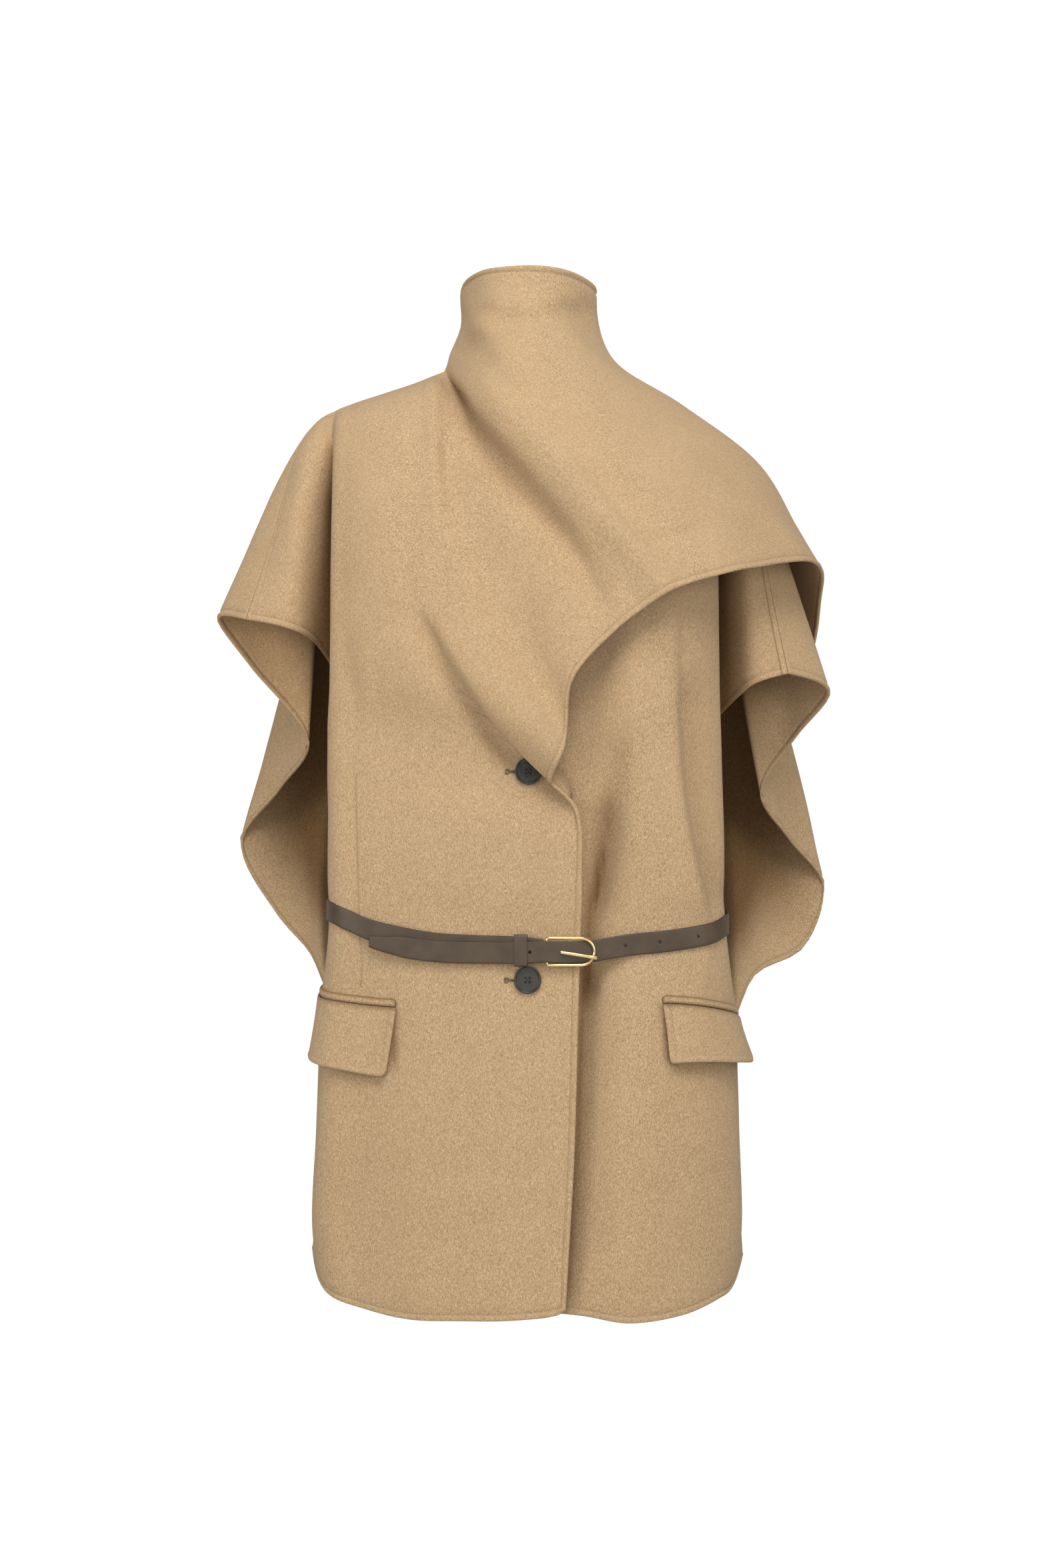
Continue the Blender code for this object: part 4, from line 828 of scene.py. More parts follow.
# Soft folds of the cloth, given where they show: how far the cloth moves out (or in, below
# nought), its half width on the near side, which is to the left of a fold that runs down and
# below one that runs across, and on the far side, and x and z along the fold. Side is -1 in
# front and 1 behind.
Fold = namedtuple("Fold", "depth near far path side", defaults=[-1])
LAP_GROOVE = ((84, -330), (83, -366), (78, -404), (71, -447), (64, -485), (58, -524))
FOLDS = {
    "right_front": (
        # The scarf: the deep valley under its crest, the crest, and the dip beyond
        Fold(-3.0, 6.0, 5.0, ((-70, -2), (-58, -33), (-42, -72), (-25, -100), (-10, -117))),
        Fold(-5.0, 12.0, 9.0, ((-35, -88), (-1, -128), (29, -161), (50, -192), (66, -225),
            (76, -250))),
        Fold(5.0, 16.0, 6.0, ((-43, -8), (-16, -44), (23, -84), (50, -117), (78, -153), (105, -183),
            (127, -211), (146, -236))),
        Fold(-2.0, 7.0, 14.0, ((53, -95), (70, -125), (87, -145), (105, -161))),
        Fold(-2.0, 9.0, 9.0, ((87, -161), (117, -168), (150, -160), (180, -143))),
        # The soft valleys that run from the neck to the lapel's point
        Fold(-3.0, 12.0, 10.0, ((-75, -64), (-72, -100), (-64, -143), (-52, -173), (-37, -218),
            (-22, -252), (-1, -288))),
        Fold(-4.2, 5.0, 3.6, ((-22, -252), (-1, -288), (14, -318), (28, -342), (36, -354))),
        Fold(-1.6, 5.0, 5.0, ((3, -222), (5, -246), (9, -273), (19, -300), (29, -330))),
        # The valley beside the lapel's roll, and the roll
        Fold(-6.0, 12.0, 7.0, ((-98, -228), (-79, -268), (-57, -305), (-36, -337), (-16, -363),
            (2, -381))),
        Fold(4.0, 12.0, 15.0, ((-85, -242), (-57, -277), (-26, -314), (2, -340), (25, -363),
            (42, -384))),
        # The neck: the roll under the rim, and the folds at its side
        Fold(2.6, 7.0, 7.0, ((-62, 66), (-41, 62), (-7, 57), (18, 61), (43, 69), (70, 80))),
        Fold(-2.2, 8.0, 6.0, ((-50, 48), (-35, 45), (5, 41), (43, 52), (70, 65))),
        Fold(3.0, 5.0, 5.0, ((-74, 20), (-50, 39), (-28, 48))),
        Fold(-3.0, 5.0, 5.0, ((-72, 6), (-59, 16), (-38, 23), (-19, 35), (0, 47))),
        # The body of the right front
        Fold(1.3, 9.0, 11.0, ((-151, -230), (-149, -300), (-149, -360), (-147, -440),
            (-144, -515))),
        Fold(-1.2, 7.0, 7.0, ((-160, -260), (-159, -340), (-159, -420), (-158, -500))),
        Fold(-1.5, 14.0, 14.0, ((-140, -220), (-104, -248), (-86, -281))),
        Fold(1.6, 22.0, 22.0, ((-101, -552), (-105, -646), (-109, -767), (-107, -880))),
        Fold(-1.2, 14.0, 14.0, ((-75, -552), (-77, -646), (-80, -767))),
        Fold(-1.2, 18.0, 18.0, ((-156, -650), (-160, -755), (-162, -870))),
        Fold(3.2, 12.0, 12.0, ((66, -20), (108, -110), (148, -230), (176, -330)), 1),
        Fold(-2.8, 11.0, 11.0, ((110, -50), (160, -130), (200, -220), (228, -320)), 1),
    ),
    "left_front": (
        # The left front: the groove beside the lap, the soft ridge below the belt, and the pleat
        Fold(-4.0, 12.0, 15.0, LAP_GROOVE),
        Fold(-7.0, 8.0, 12.0, ((75, -400), (72, -440), (66, -480), (60, -505), (56, -540),
            (52, -600))),
        Fold(-8.0, 9.0, 12.0, ((56, -546), (53, -580), (50, -621), (44, -706), (38, -797),
            (30, -880))),
        Fold(2.0, 18.0, 20.0, ((82, -552), (81, -705), (75, -795), (69, -880))),
        Fold(4.2, 17.0, 3.4, ((130, -200), (132, -282), (134, -342), (138, -397), (148, -451),
            (167, -520))),
        Fold(-4.5, 4.5, 20.0, ((140, -290), (142, -342), (148, -403), (158, -457), (174, -520))),
    ),
    "back": (
        # The back, where the cloth hangs in soft folds above and below the belt
        Fold(3.4, 15.0, 15.0, ((-62, -140), (-67, -300), (-58, -482)), 1),
        Fold(-3.0, 13.0, 13.0, ((-28, -190), (-34, -350), (-27, -486)), 1),
        Fold(3.0, 14.0, 14.0, ((44, -150), (52, -320), (43, -484)), 1),
        Fold(-3.4, 15.0, 15.0, ((92, -210), (84, -360), (93, -486)), 1),
        Fold(-2.6, 13.0, 13.0, ((-104, -230), (-98, -370), (-106, -480)), 1),
        Fold(2.8, 18.0, 18.0, ((-70, -545), (-76, -700), (-82, -880)), 1),
        Fold(-2.8, 16.0, 16.0, ((18, -545), (26, -700), (24, -880)), 1),
        Fold(2.8, 18.0, 18.0, ((108, -545), (116, -720), (122, -880)), 1),
        Fold(-2.4, 15.0, 15.0, ((-124, -560), (-132, -720), (-136, -880)), 1),
    ),
}
# Shade that gathers beside folds and edges, from 0 to 1, in place of a fold's depth
SHADES = {
    "left_front": (
        Fold(0.22, 9.0, 14.0, LAP_GROOVE),
        Fold(0.42, 11.0, 6.0, ((77, -380), (72, -430), (66, -475), (60, -505), (57, -535),
            (54, -575))),
        Fold(0.45, 7.0, 4.0, ((70, -435), (65, -475), (59, -505), (56, -535), (52, -600))),
        Fold(0.80, 7.0, 7.0, ((57, -530), (53, -580), (49, -621), (44, -706), (38, -797),
            (30, -885))),
        Fold(0.24, 1.8, 24.0, ((136, -262), (137, -342), (142, -397), (151, -451), (168, -520))),
    ),
}
# The same in the shadow of the flaps' edges
FLAP_SHADES = {
    "left_front": (
        Fold(0.9, 5.0, 5.0, ((125, -586), (127, -600), (129, -620), (133, -646))),
        Fold(0.4, 5.0, 4.0, ((130, -646), (160, -648), (196, -650))),
    ),
    "right_front": (
        Fold(0.8, 3.0, 2.4, ((-117, -590), (-119, -612), (-122, -636), (-126, -655))),
        Fold(0.4, 5.0, 4.0, ((-190, -645), (-160, -652), (-128, -660))),
    ),
}
# Painted light that makes the inner face paler, under the hem of the right wing
INNER_PAINTED_LIGHT = {
    "back": (
        Fold(1.0, 40.0, 34.0, ((-292, -215), (-275, -236), (-240, -262), (-220, -300),
            (-214, -360)), 1),
    ),
}
# How far from its ends a fold is whole, and the same for the shade of a flap
FOLD_FADE = 34.0
FLAP_SHADE_FADE = 7.0
# Samples along each gap of a fold, and how many times its width it reaches
FOLD_SAMPLES = 12
FOLD_REACH = 3
# How far past the middle of the cape a fold of one side may still lie
NEAR_SIDE = 30.0


def soft_lines(rows, points, fade_in=FOLD_FADE):
    """The depths of a table's rows for one piece, summed at each point."""
    moved = np.zeros(len(points))
    flat = points[:, [0, 2]]
    for fold in rows:
        path = sampled(fold.path, FOLD_SAMPLES * (len(fold.path) - 1) + 1)
        along = lengths(path)
        ways = unit(np.gradient(path, axis=0))
        fading = min(fade_in, along[-1] / 3)
        reach = FOLD_REACH * max(fold.near, fold.far)
        low, high = path.min(axis=0) - reach, path.max(axis=0) + reach
        close = (flat > low).all(axis=1) & (flat < high).all(axis=1)
        close &= points[:, 1] * fold.side > -NEAR_SIDE
        for part in np.array_split(np.flatnonzero(close), max(1, close.sum() // CHUNK)):
            offsets = flat[part][:, None] - path[None]
            nearest = np.linalg.norm(offsets, axis=2).argmin(axis=1)
            offset, way = offsets[np.arange(len(part)), nearest], ways[nearest]
            away = way[:, 0] * offset[:, 1] - way[:, 1] * offset[:, 0]
            reached = along[nearest] + (offset * way).sum(axis=1)
            fade = np.clip(np.minimum(reached, along[-1] - reached) / fading, 0, 1)
            width = np.where(away > 0, fold.far, fold.near)
            moved[part] += fold.depth * bell(away, width) * smoothstep(fade)
    return moved


# Panels: the columns of each front's body at regular heights
PANEL_STEP = 2.0
PANEL_TOP = -330.0
PANEL_BOTTOM = -800.0
# The column from which a panel may turn back on itself, and how far either side of a point
# the way along the cloth is taken
TURN_FROM = 20
AIM_STEP = 3.0


class Panel:
    """The cloth's inner face from its side seam round to its front edge, height by height."""

    def __init__(self, columns, before_fold=False):
        self.heights = np.arange(PANEL_BOTTOM, PANEL_TOP, PANEL_STEP)
        self.table = np.empty((len(self.heights), len(columns), 2))
        for j, line in enumerate(columns):
            line = line[~np.isnan(line[:, 0])][::-1]
            self.table[:, j] = along_path(self.heights, line[:, 2], line[:, :2])
        if before_fold:
            for row in self.table:
                turns = np.flatnonzero(np.diff(row[TURN_FROM:, 0]) < 0)
                if len(turns):
                    row[TURN_FROM + turns[0]:] = row[TURN_FROM + turns[0]]

    def section(self, z):
        place = np.clip((z - self.heights[0]) / PANEL_STEP, 0, len(self.heights) - 1.001)
        low = int(place)
        points = self.table[low] + (self.table[low + 1] - self.table[low]) * (place - low)
        return points, lengths(points)

    def out_from(self, distance, z, out, side):
        """The point this far along the cloth from its side seam, moved out level."""
        points, along = self.section(z)
        spots = distance + np.array((0, AIM_STEP, -AIM_STEP))
        here, ahead, behind = along_path(spots, along, points)
        dx, dy = unit(ahead - behind)
        return np.array((here[0] - out * dy * side, here[1] + out * dx * side, z))

    def depth(self, x, z):
        points, _ = self.section(z)
        return np.interp(x, points[:, 0], points[:, 1])


def inset_places(total, spacing):
    """Distances from 0 to total with the insets at both ends."""
    near = np.array([inset for inset in INSETS if inset < total / 2 - INSET_ROOM])
    middle = max(1, round((total - 2 * near[-1]) / spacing))
    inner = np.linspace(near[-1], total - near[-1], middle + 1)[1:-1]
    return np.concatenate([near, inner, total - near[::-1]])


def rounded_off(across, down, width, depth, radius, top):
    """A place in a rectangle moved so that its lower corners, or upper ones, are round."""
    sx = across if across < width / 2 else width - across
    sy = down if top else depth - down
    if sx >= radius or sy >= radius:
        return across, down
    p, q = 1 - sx / radius, 1 - sy / radius
    scale = max(p, q) / max(math.hypot(p, q), 1e-9)
    sx, sy = radius * (1 - p * scale), radius * (1 - q * scale)
    return (sx if across < width / 2 else width - sx), (sy if top else depth - sy)


def pocket_piece(panel, pocket, side, depth, hangs, corner, top):
    """A fine strip of cloth lying on a panel, from the pocket's top line down by depth."""
    width = pocket.side_end - pocket.side_start
    downs, acrosses = inset_places(depth, POCKET_SPACING), inset_places(width, POCKET_SPACING)
    grid = np.empty((len(downs), len(acrosses), 3))
    for i, down in enumerate(downs):
        for j, across in enumerate(acrosses):
            a, d = rounded_off(across, down, width, depth, corner, top)
            forward, share = a / width, max(0.0, d / pocket.depth)
            line = pocket.side_top + (pocket.front_top - pocket.side_top) * smoothstep(forward)
            d *= 1 - hangs * (1 - pocket.side_depth / pocket.depth) * (1 - forward)
            stand = hangs * (pocket.stand_side + (pocket.stand_front - pocket.stand_side) * forward)
            bow = hangs * FLAP_BOW * math.sin(math.pi * min(1.0, forward)) * share
            out = (WALL + pocket.clear if hangs else WELT_SUNK) + stand * share**FLAP_CURL + bow
            along = pocket.side_start + a + pocket.slant * share * forward
            grid[i, j] = panel.out_from(along, line - d, out, side)
    return grid


# The height at which the cloth is cut to draw the taut line round it, samples of the belt's
# own line and of each span of the taut line, and how far round the ways out are taken. The
# last two are steps of BEARING_STEP either way, over which the taut line and the strap's rows
# are evened out.
BELT_MIDDLE = -525.0
BELT_SAMPLES = 400
HULL_SAMPLES = 80
AIM_TURN = 2.0
BELT_REACH = 8
STRAP_REACH = 6


def belt_height(bearing):
    path = sampled(BELT_LINE, BELT_SAMPLES)
    return np.interp((np.asarray(bearing) + 180) % 360 - 180, path[:, 0], path[:, 1])


def bearing_of(points):
    return np.degrees(np.arctan2(points[:, 0], -points[:, 1]))


def soft_weights(reach, width):
    """Weights that even out values at steps of BEARING_STEP, for so many steps either way."""
    weights = bell(np.arange(-reach, reach + 1) * BEARING_STEP, width)
    return weights / weights.sum()


class BeltLine:
    """The taut line round the cloth and the wearer, by bearing."""

    def __init__(self, panels):
        touched = [(side * x, y) for x, y in BELT_BEHIND for side in (-1, 1)]
        for panel, side in panels:
            points, along = panel.section(BELT_MIDDLE)
            for half in (-0.5, 0, 0.5):
                heights = belt_height(bearing_of(points)) + half * STRAP_WIDTH
                for distance, z in zip(along[::2], heights[::2]):
                    touched.append(panel.out_from(distance, z, WALL + BELT_CLEARANCE, side)[:2])
        hull = geometry.convex_hull_2d([Vector(point) for point in touched])
        corners = np.array([touched[i] for i in hull])
        shares = np.linspace(0, 1, HULL_SAMPLES, endpoint=False)[:, None]
        line = np.concatenate([corner + (after - corner) * shares
                               for corner, after in zip(corners, np.roll(corners, -1, axis=0))])
        bearings = bearing_of(line)
        order = np.argsort(bearings)
        self.bearings = np.arange(-180, 180, BEARING_STEP)
        table = np.stack([np.interp(self.bearings, bearings[order], line[order, k], period=360)
                          for k in (0, 1)], axis=1)
        shifts, weights = range(-BELT_REACH, BELT_REACH + 1), soft_weights(BELT_REACH, BELT_SOFTEN)
        self.table = sum(np.roll(table, -shift, axis=0) * weight
                         for shift, weight in zip(shifts, weights))

    def at(self, bearing, lift):
        """A point lifted out from the taut line, and the way out there."""
        near = [np.array([np.interp(bearing + turn, self.bearings, self.table[:, k], period=360)
                          for k in (0, 1)]) for turn in (-AIM_TURN, 0.0, AIM_TURN)]
        dx, dy = unit(near[2] - near[0])
        x, y = near[1] + np.array((dy, -dx)) * lift
        return Vector((x, y, float(belt_height(bearing)))), Vector((dy, -dx, 0))

    def bearing(self, x):
        front = np.abs(self.bearings) < FRONT_BEARING
        return np.interp(x, self.table[front, 0], self.bearings[front])

    def spot(self, x, z, lift):
        point, _ = self.at(self.bearing(x), lift)
        return (point.x, point.y, z)


def strap_rows(turns):
    """The strap's lifts and drops at these turns, evened out."""
    bearings, *columns = np.array(STRAP).T
    fine = np.arange(bearings[-1], bearings[0], BEARING_STEP)
    found = []
    for column in columns:
        padded = np.pad(np.interp(-fine, -bearings, column), STRAP_REACH, mode="edge")
        soft = np.convolve(padded, soft_weights(STRAP_REACH, STRAP_SOFTEN), mode="valid")
        found.append(np.interp(turns, fine, soft))
    return found


def strap_grid(belt):
    turns = np.append(np.arange(STRAP[0].bearing, STRAP[-1].bearing, -BELT_STEP), STRAP[-1].bearing)
    lifts, drops = strap_rows(turns)
    points = [belt.at(turn, lift)[0] for turn, lift in zip(turns, lifts)]
    middle = np.array([(p.x, p.y, p.z + drop) for p, drop in zip(points, drops)])
    along = lengths(middle)
    room = INSETS[-1] + 1
    wanted = np.concatenate([INSETS, along[(along > room) & (along < along[-1] - room)],
                             along[-1] - np.array(INSETS[::-1])])
    shares = (inset_places(STRAP_WIDTH, STRAP_SPACING) / STRAP_WIDTH * 2 - 1)[::-1]
    columns = []
    for point, tip in zip(along_path(wanted, along, middle), wanted[-1] - wanted):
        half = STRAP_WIDTH / 2 * (1 - TIP_TAPER * max(0.0, 1 - tip / TIP_LENGTH))
        columns.append([(point[0], point[1], point[2] + half * share) for share in shares])
    return np.array(columns).transpose(1, 0, 2)


class Nodes:
    """Short ways to add a tree's nodes. Each takes numbers or sockets, and gives a socket."""

    def __init__(self, tree):
        self.tree = tree

    def join(self, value, socket):
        if isinstance(value, bpy.types.NodeSocket):
            self.tree.links.new(value, socket)
        else:
            socket.default_value = value

    def add(self, kind, inputs=(), out=0, **settings):
        made = self.tree.nodes.new("ShaderNode" + kind)
        for name, value in settings.items():
            setattr(made, name, value)
        for socket, value in dict(inputs).items():
            self.join(value, made.inputs[socket])
        return made.outputs[out]

    def math(self, operation, a, b=0.0, c=0.0):
        return self.add("Math", {0: a, 1: b, 2: c}, operation=operation)

    def plus(self, a, b):
        return self.math("ADD", a, b)

    def minus(self, a, b):
        return self.math("SUBTRACT", a, b)

    def times(self, a, b):
        return self.math("MULTIPLY", a, b)

    def attribute(self, name):
        return self.add("Attribute", out="Fac", attribute_name=name)

    def position(self):
        return self.add("TexCoord", out="Object")

    def ramp(self, value, *stops):
        made = self.add("ValToRGB", {"Fac": value}).node
        while len(made.color_ramp.elements) < len(stops):
            made.color_ramp.elements.new(0.5)
        for element, (place, colour) in zip(made.color_ramp.elements, stops):
            element.position = place
            element.color = (*(colour if isinstance(colour, tuple) else (colour,) * 3), 1.0)
        return made.outputs["Color"]

    def noise(self, vector, scale, detail=2.0, roughness=0.5, distortion=0.0):
        return self.add("TexNoise", {"Vector": vector, "Scale": scale, "Detail": detail,
                                     "Roughness": roughness, "Distortion": distortion}, "Fac")

    def mix(self, share, a, b, blend="MIX"):
        a, b = ((*value, 1.0) if isinstance(value, tuple) else value for value in (a, b))
        return self.add("Mix", {0: share, 6: a, 7: b}, 2, data_type="RGBA", blend_type=blend)

    def streaks(self, space, width, length, lean):
        """Noise drawn out along a way that leans from straight down, in millimetres."""
        turned = self.add("VectorRotate", {"Vector": space, "Angle": math.radians(lean)},
                          rotation_type="Y_AXIS")
        scale = (1 / (width * MM), 1 / (width * MM), 1 / (length * MM))
        drawn = self.add("VectorMath", {0: turned, 1: scale}, operation="MULTIPLY")
        return self.noise(drawn, 1.0, 2.0, 0.55, 0.5)

    def line(self, distance, inset, width):
        """1 at this distance in, falling off softly on both sides."""
        off = self.times(self.minus(distance, inset), 1 / width)
        return self.math("EXPONENT", self.times(self.times(off, off), -1.0))


class Finish(Nodes):
    """A material, and the sockets of its shader by name, with _ for a space."""

    def __init__(self, name, roughness, **constants):
        self.made = bpy.data.materials.new(name)
        self.made.use_nodes = True
        super().__init__(self.made.node_tree)
        self.shader = next(n for n in self.tree.nodes if n.type == "BSDF_PRINCIPLED")
        self.set(Roughness=roughness, **constants)

    def set(self, **values):
        for title, value in values.items():
            self.join(value, self.shader.inputs[title.replace("_", " ")])

    def bump(self, height, strength, distance):
        self.set(Normal=self.add("Bump", {"Height": height, "Strength": strength,
                                          "Distance": distance}))


# Wool: three tones of the nap, its blotches, the painted shade of creases and hollows, and the
# painted light that makes the inner face paler. Widths and lengths are in millimetres, and the lean
# is in degrees.
WOOL_DARK = (0.335, 0.212, 0.104)
WOOL_MIDDLE = (0.522, 0.355, 0.196)
WOOL_LIGHT = (0.735, 0.540, 0.335)
BLOTCH = (0.955, 0.95, 0.94)
BLOTCH_SCALE = 26.0
WHITE = (1.0, 1.0, 1.0)
CREASE_SHADE = (0.20, 0.125, 0.065)
DEEP_SHADE = (0.40, 0.325, 0.24)
INNER_LIGHT = (1.34, 1.28, 1.20)
NAP_WIDTH = 0.62
NAP_LENGTH = 2.0
NAP_LEAN = 40.0
MOTTLE_WIDTH = 3.4
MOTTLE_LENGTH = 8.0
MOTTLE_SHARE = 0.05
DART_WIDTH = 1.1
DART_SHADE = 0.24
DART_SUNK = 0.9
# How strong the painted shade of the stitched lines is beside a free edge and beside a seam, and
# their width
LINE_SHADES = {"edge": 0.28, "seam": 1.0}
LINE_WIDTH = 0.8


def wool_material():
    """Double-faced wool with a short brushed nap that leans down the cloth."""
    wool = Finish("camel_wool_nap", 0.92, Sheen_Weight=0.16, Sheen_Roughness=0.45,
                  Sheen_Tint=(1.0, 0.88, 0.72, 1.0), Specular_IOR_Level=0.12)
    space, slant = wool.position(), wool.attribute("slant")
    straight, rising, falling = (wool.streaks(space, NAP_WIDTH, NAP_LENGTH, lean)
                                 for lean in (0.0, NAP_LEAN, -NAP_LEAN))
    nap = straight
    for layer, share in ((rising, slant), (falling, wool.times(slant, -1.0))):
        share = wool.add("Clamp", {"Value": share})
        nap = wool.plus(nap, wool.times(wool.minus(layer, straight), share))
    mottle = wool.streaks(space, MOTTLE_WIDTH, MOTTLE_LENGTH, 0.0)
    nap = wool.plus(wool.times(nap, 1 - MOTTLE_SHARE), wool.times(mottle, MOTTLE_SHARE))
    colour = wool.ramp(nap, (0.32, WOOL_DARK), (0.5, WOOL_MIDDLE), (0.70, WOOL_LIGHT))
    blotches = wool.ramp(wool.noise(space, BLOTCH_SCALE, 3.0), (0.3, BLOTCH), (0.7, WHITE))
    dart = wool.line(wool.attribute("dart"), 0.0, DART_WIDTH)
    crease_shade = wool.times(dart, DART_SHADE)
    for title, strength in LINE_SHADES.items():
        there = wool.times(wool.line(wool.attribute(title), STITCH_INSET, LINE_WIDTH), strength)
        crease_shade = wool.plus(crease_shade, wool.times(there, wool.attribute(f"{title}_depth")))
    # Painted shade along the dart and the stitched lines, then painted shade and painted light from
    # the shade and lit values
    shaded = wool.mix(crease_shade, wool.mix(1.0, colour, blotches, "MULTIPLY"), CREASE_SHADE)
    # Painted light: where lit is given, the inner face's colour is made paler
    light = wool.mix(wool.attribute("lit"), WHITE, INNER_LIGHT)
    deep = wool.mix(wool.attribute("shade"), light, DEEP_SHADE)
    wool.set(Base_Color=wool.mix(1.0, shaded, deep, "MULTIPLY"))
    wool.bump(wool.minus(nap, wool.times(dart, DART_SUNK)), 0.7, 0.0012)
    return wool.made


# Leather: its tones, the scales of its grain, pores and wear, and its painted edge, whose
# width is in millimetres. Scales are per metre.
LEATHER_DARK = (0.072, 0.048, 0.029)
LEATHER_LIGHT = (0.094, 0.065, 0.040)
GRAIN_SCALE = 1500.0
PORE_SCALE = 900.0
LEATHER_WEAR_SCALE = 60.0
PAINT = (0.034, 0.023, 0.016)
PAINT_SHARE = 0.45
PAINT_WIDTH = 1.6


def leather_material():
    leather = Finish("taupe_leather_smooth", 0.46, Specular_IOR_Level=0.36, Coat_Weight=0.06,
                     Coat_Roughness=0.35)
    space = leather.position()
    grain = leather.add("TexVoronoi", {"Vector": space, "Scale": GRAIN_SCALE, "Randomness": 0.9},
                        "Distance", feature="F1")
    pores = leather.noise(space, PORE_SCALE, 3.0)
    wear = leather.noise(space, LEATHER_WEAR_SCALE, 3.0)
    inward = leather.times(leather.attribute("edge"), 1 / PAINT_WIDTH)
    paint = leather.ramp(inward, (0.35, 1.0), (1.0, 0.0))
    colour = leather.ramp(wear, (0.3, LEATHER_DARK), (0.7, LEATHER_LIGHT))
    leather.set(Base_Color=leather.mix(leather.times(paint, PAINT_SHARE), colour, PAINT),
                Roughness=leather.ramp(wear, (0.3, 0.34), (0.7, 0.46)))
    leather.bump(leather.plus(leather.times(grain, 0.5), leather.times(pores, 0.5)), 0.16, 0.0003)
    return leather.made


# Gold: its tones, and the scale of its wear
GOLD_DARK = (0.80, 0.60, 0.27)
GOLD_LIGHT = (0.88, 0.68, 0.34)
GOLD_WEAR_SCALE = 240.0


def metal_material():
    gold = Finish("gold_polished", 0.16, Metallic=1.0)
    wear = gold.noise(gold.position(), GOLD_WEAR_SCALE, 3.0)
    gold.set(Base_Color=gold.ramp(wear, (0.3, GOLD_DARK), (0.7, GOLD_LIGHT)),
             Roughness=gold.ramp(wear, (0.3, 0.12), (0.7, 0.24)))
    return gold.made


# Horn: the places of its tones, its streaks, which are drawn out up and down, and a painted
# highlight, a pale glint at the lower button's foot, placed in millimetres
HORN_TONES = ((0.3, (0.016, 0.016, 0.010)), (0.55, (0.026, 0.026, 0.018)),
              (0.75, (0.038, 0.035, 0.024)))
STREAK_SCALE = 260.0
STREAK_DRAWN = (1.0, 1.0, 0.35)
BUTTON_GLINT = (0.30, 0.25, 0.16)
BUTTON_GLINT_SHARE = 0.55
BUTTON_GLINT_AT = (1.6, -122.0, -577.4)
BUTTON_GLINT_REACH = 2.6


def horn_material():
    horn = Finish("dark_horn_polished", 0.3, Specular_IOR_Level=0.5, Coat_Weight=0.15,
                  Coat_Roughness=0.15)
    space = horn.position()
    drawn = horn.add("VectorMath", {0: space, 1: STREAK_DRAWN}, operation="MULTIPLY")
    streaks = horn.noise(drawn, STREAK_SCALE, 4.0, 0.55, 1.2)
    colour = horn.ramp(streaks, *HORN_TONES)
    # Painted highlight: a pale glint mixed into the colour round one spot of the lower button
    apart = horn.add("VectorMath", {0: space, 1: tuple(c * MM for c in BUTTON_GLINT_AT)}, "Value",
                     operation="DISTANCE")
    glint = horn.ramp(horn.times(apart, 1 / (BUTTON_GLINT_REACH * MM)), (0.3, 1.0), (1.0, 0.0))
    horn.set(Base_Color=horn.mix(horn.times(glint, BUTTON_GLINT_SHARE), colour, BUTTON_GLINT),
             Roughness=horn.ramp(streaks, (0.3, 0.26), (0.7, 0.38)))
    return horn.made


# Thread: its two colours, the scale of its twist, and how dark the twist gets
BUTTON_THREAD = (0.035, 0.026, 0.020)
HOLE_THREAD = (0.24, 0.155, 0.105)
TWIST_SCALE = 900.0
TWIST_SHADE = 0.55


def thread_material(name, colour):
    thread = Finish(name, 0.75, Sheen_Weight=0.2)
    twist = thread.add("TexWave", {"Vector": thread.position(), "Scale": TWIST_SCALE,
                                   "Distortion": 2.0}, "Fac", bands_direction="DIAGONAL")
    dark = tuple(c * TWIST_SHADE for c in colour)
    thread.set(Base_Color=thread.ramp(twist, (0.2, dark), (0.8, colour)))
    thread.bump(twist, 0.4, 0.0002)
    return thread.made


def linked(name, data):
    made = bpy.data.objects.new(name, data)
    bpy.context.scene.collection.objects.link(made)
    return made


def place(name, data, finish, slot, *nodes):
    """A piece with its material, and the CAD nodes that it stands for; its slot is not used."""
    data.materials.append(finish)
    made = linked(name, data)
    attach(made, "root")
    if nodes:
        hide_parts(*nodes)
    return made


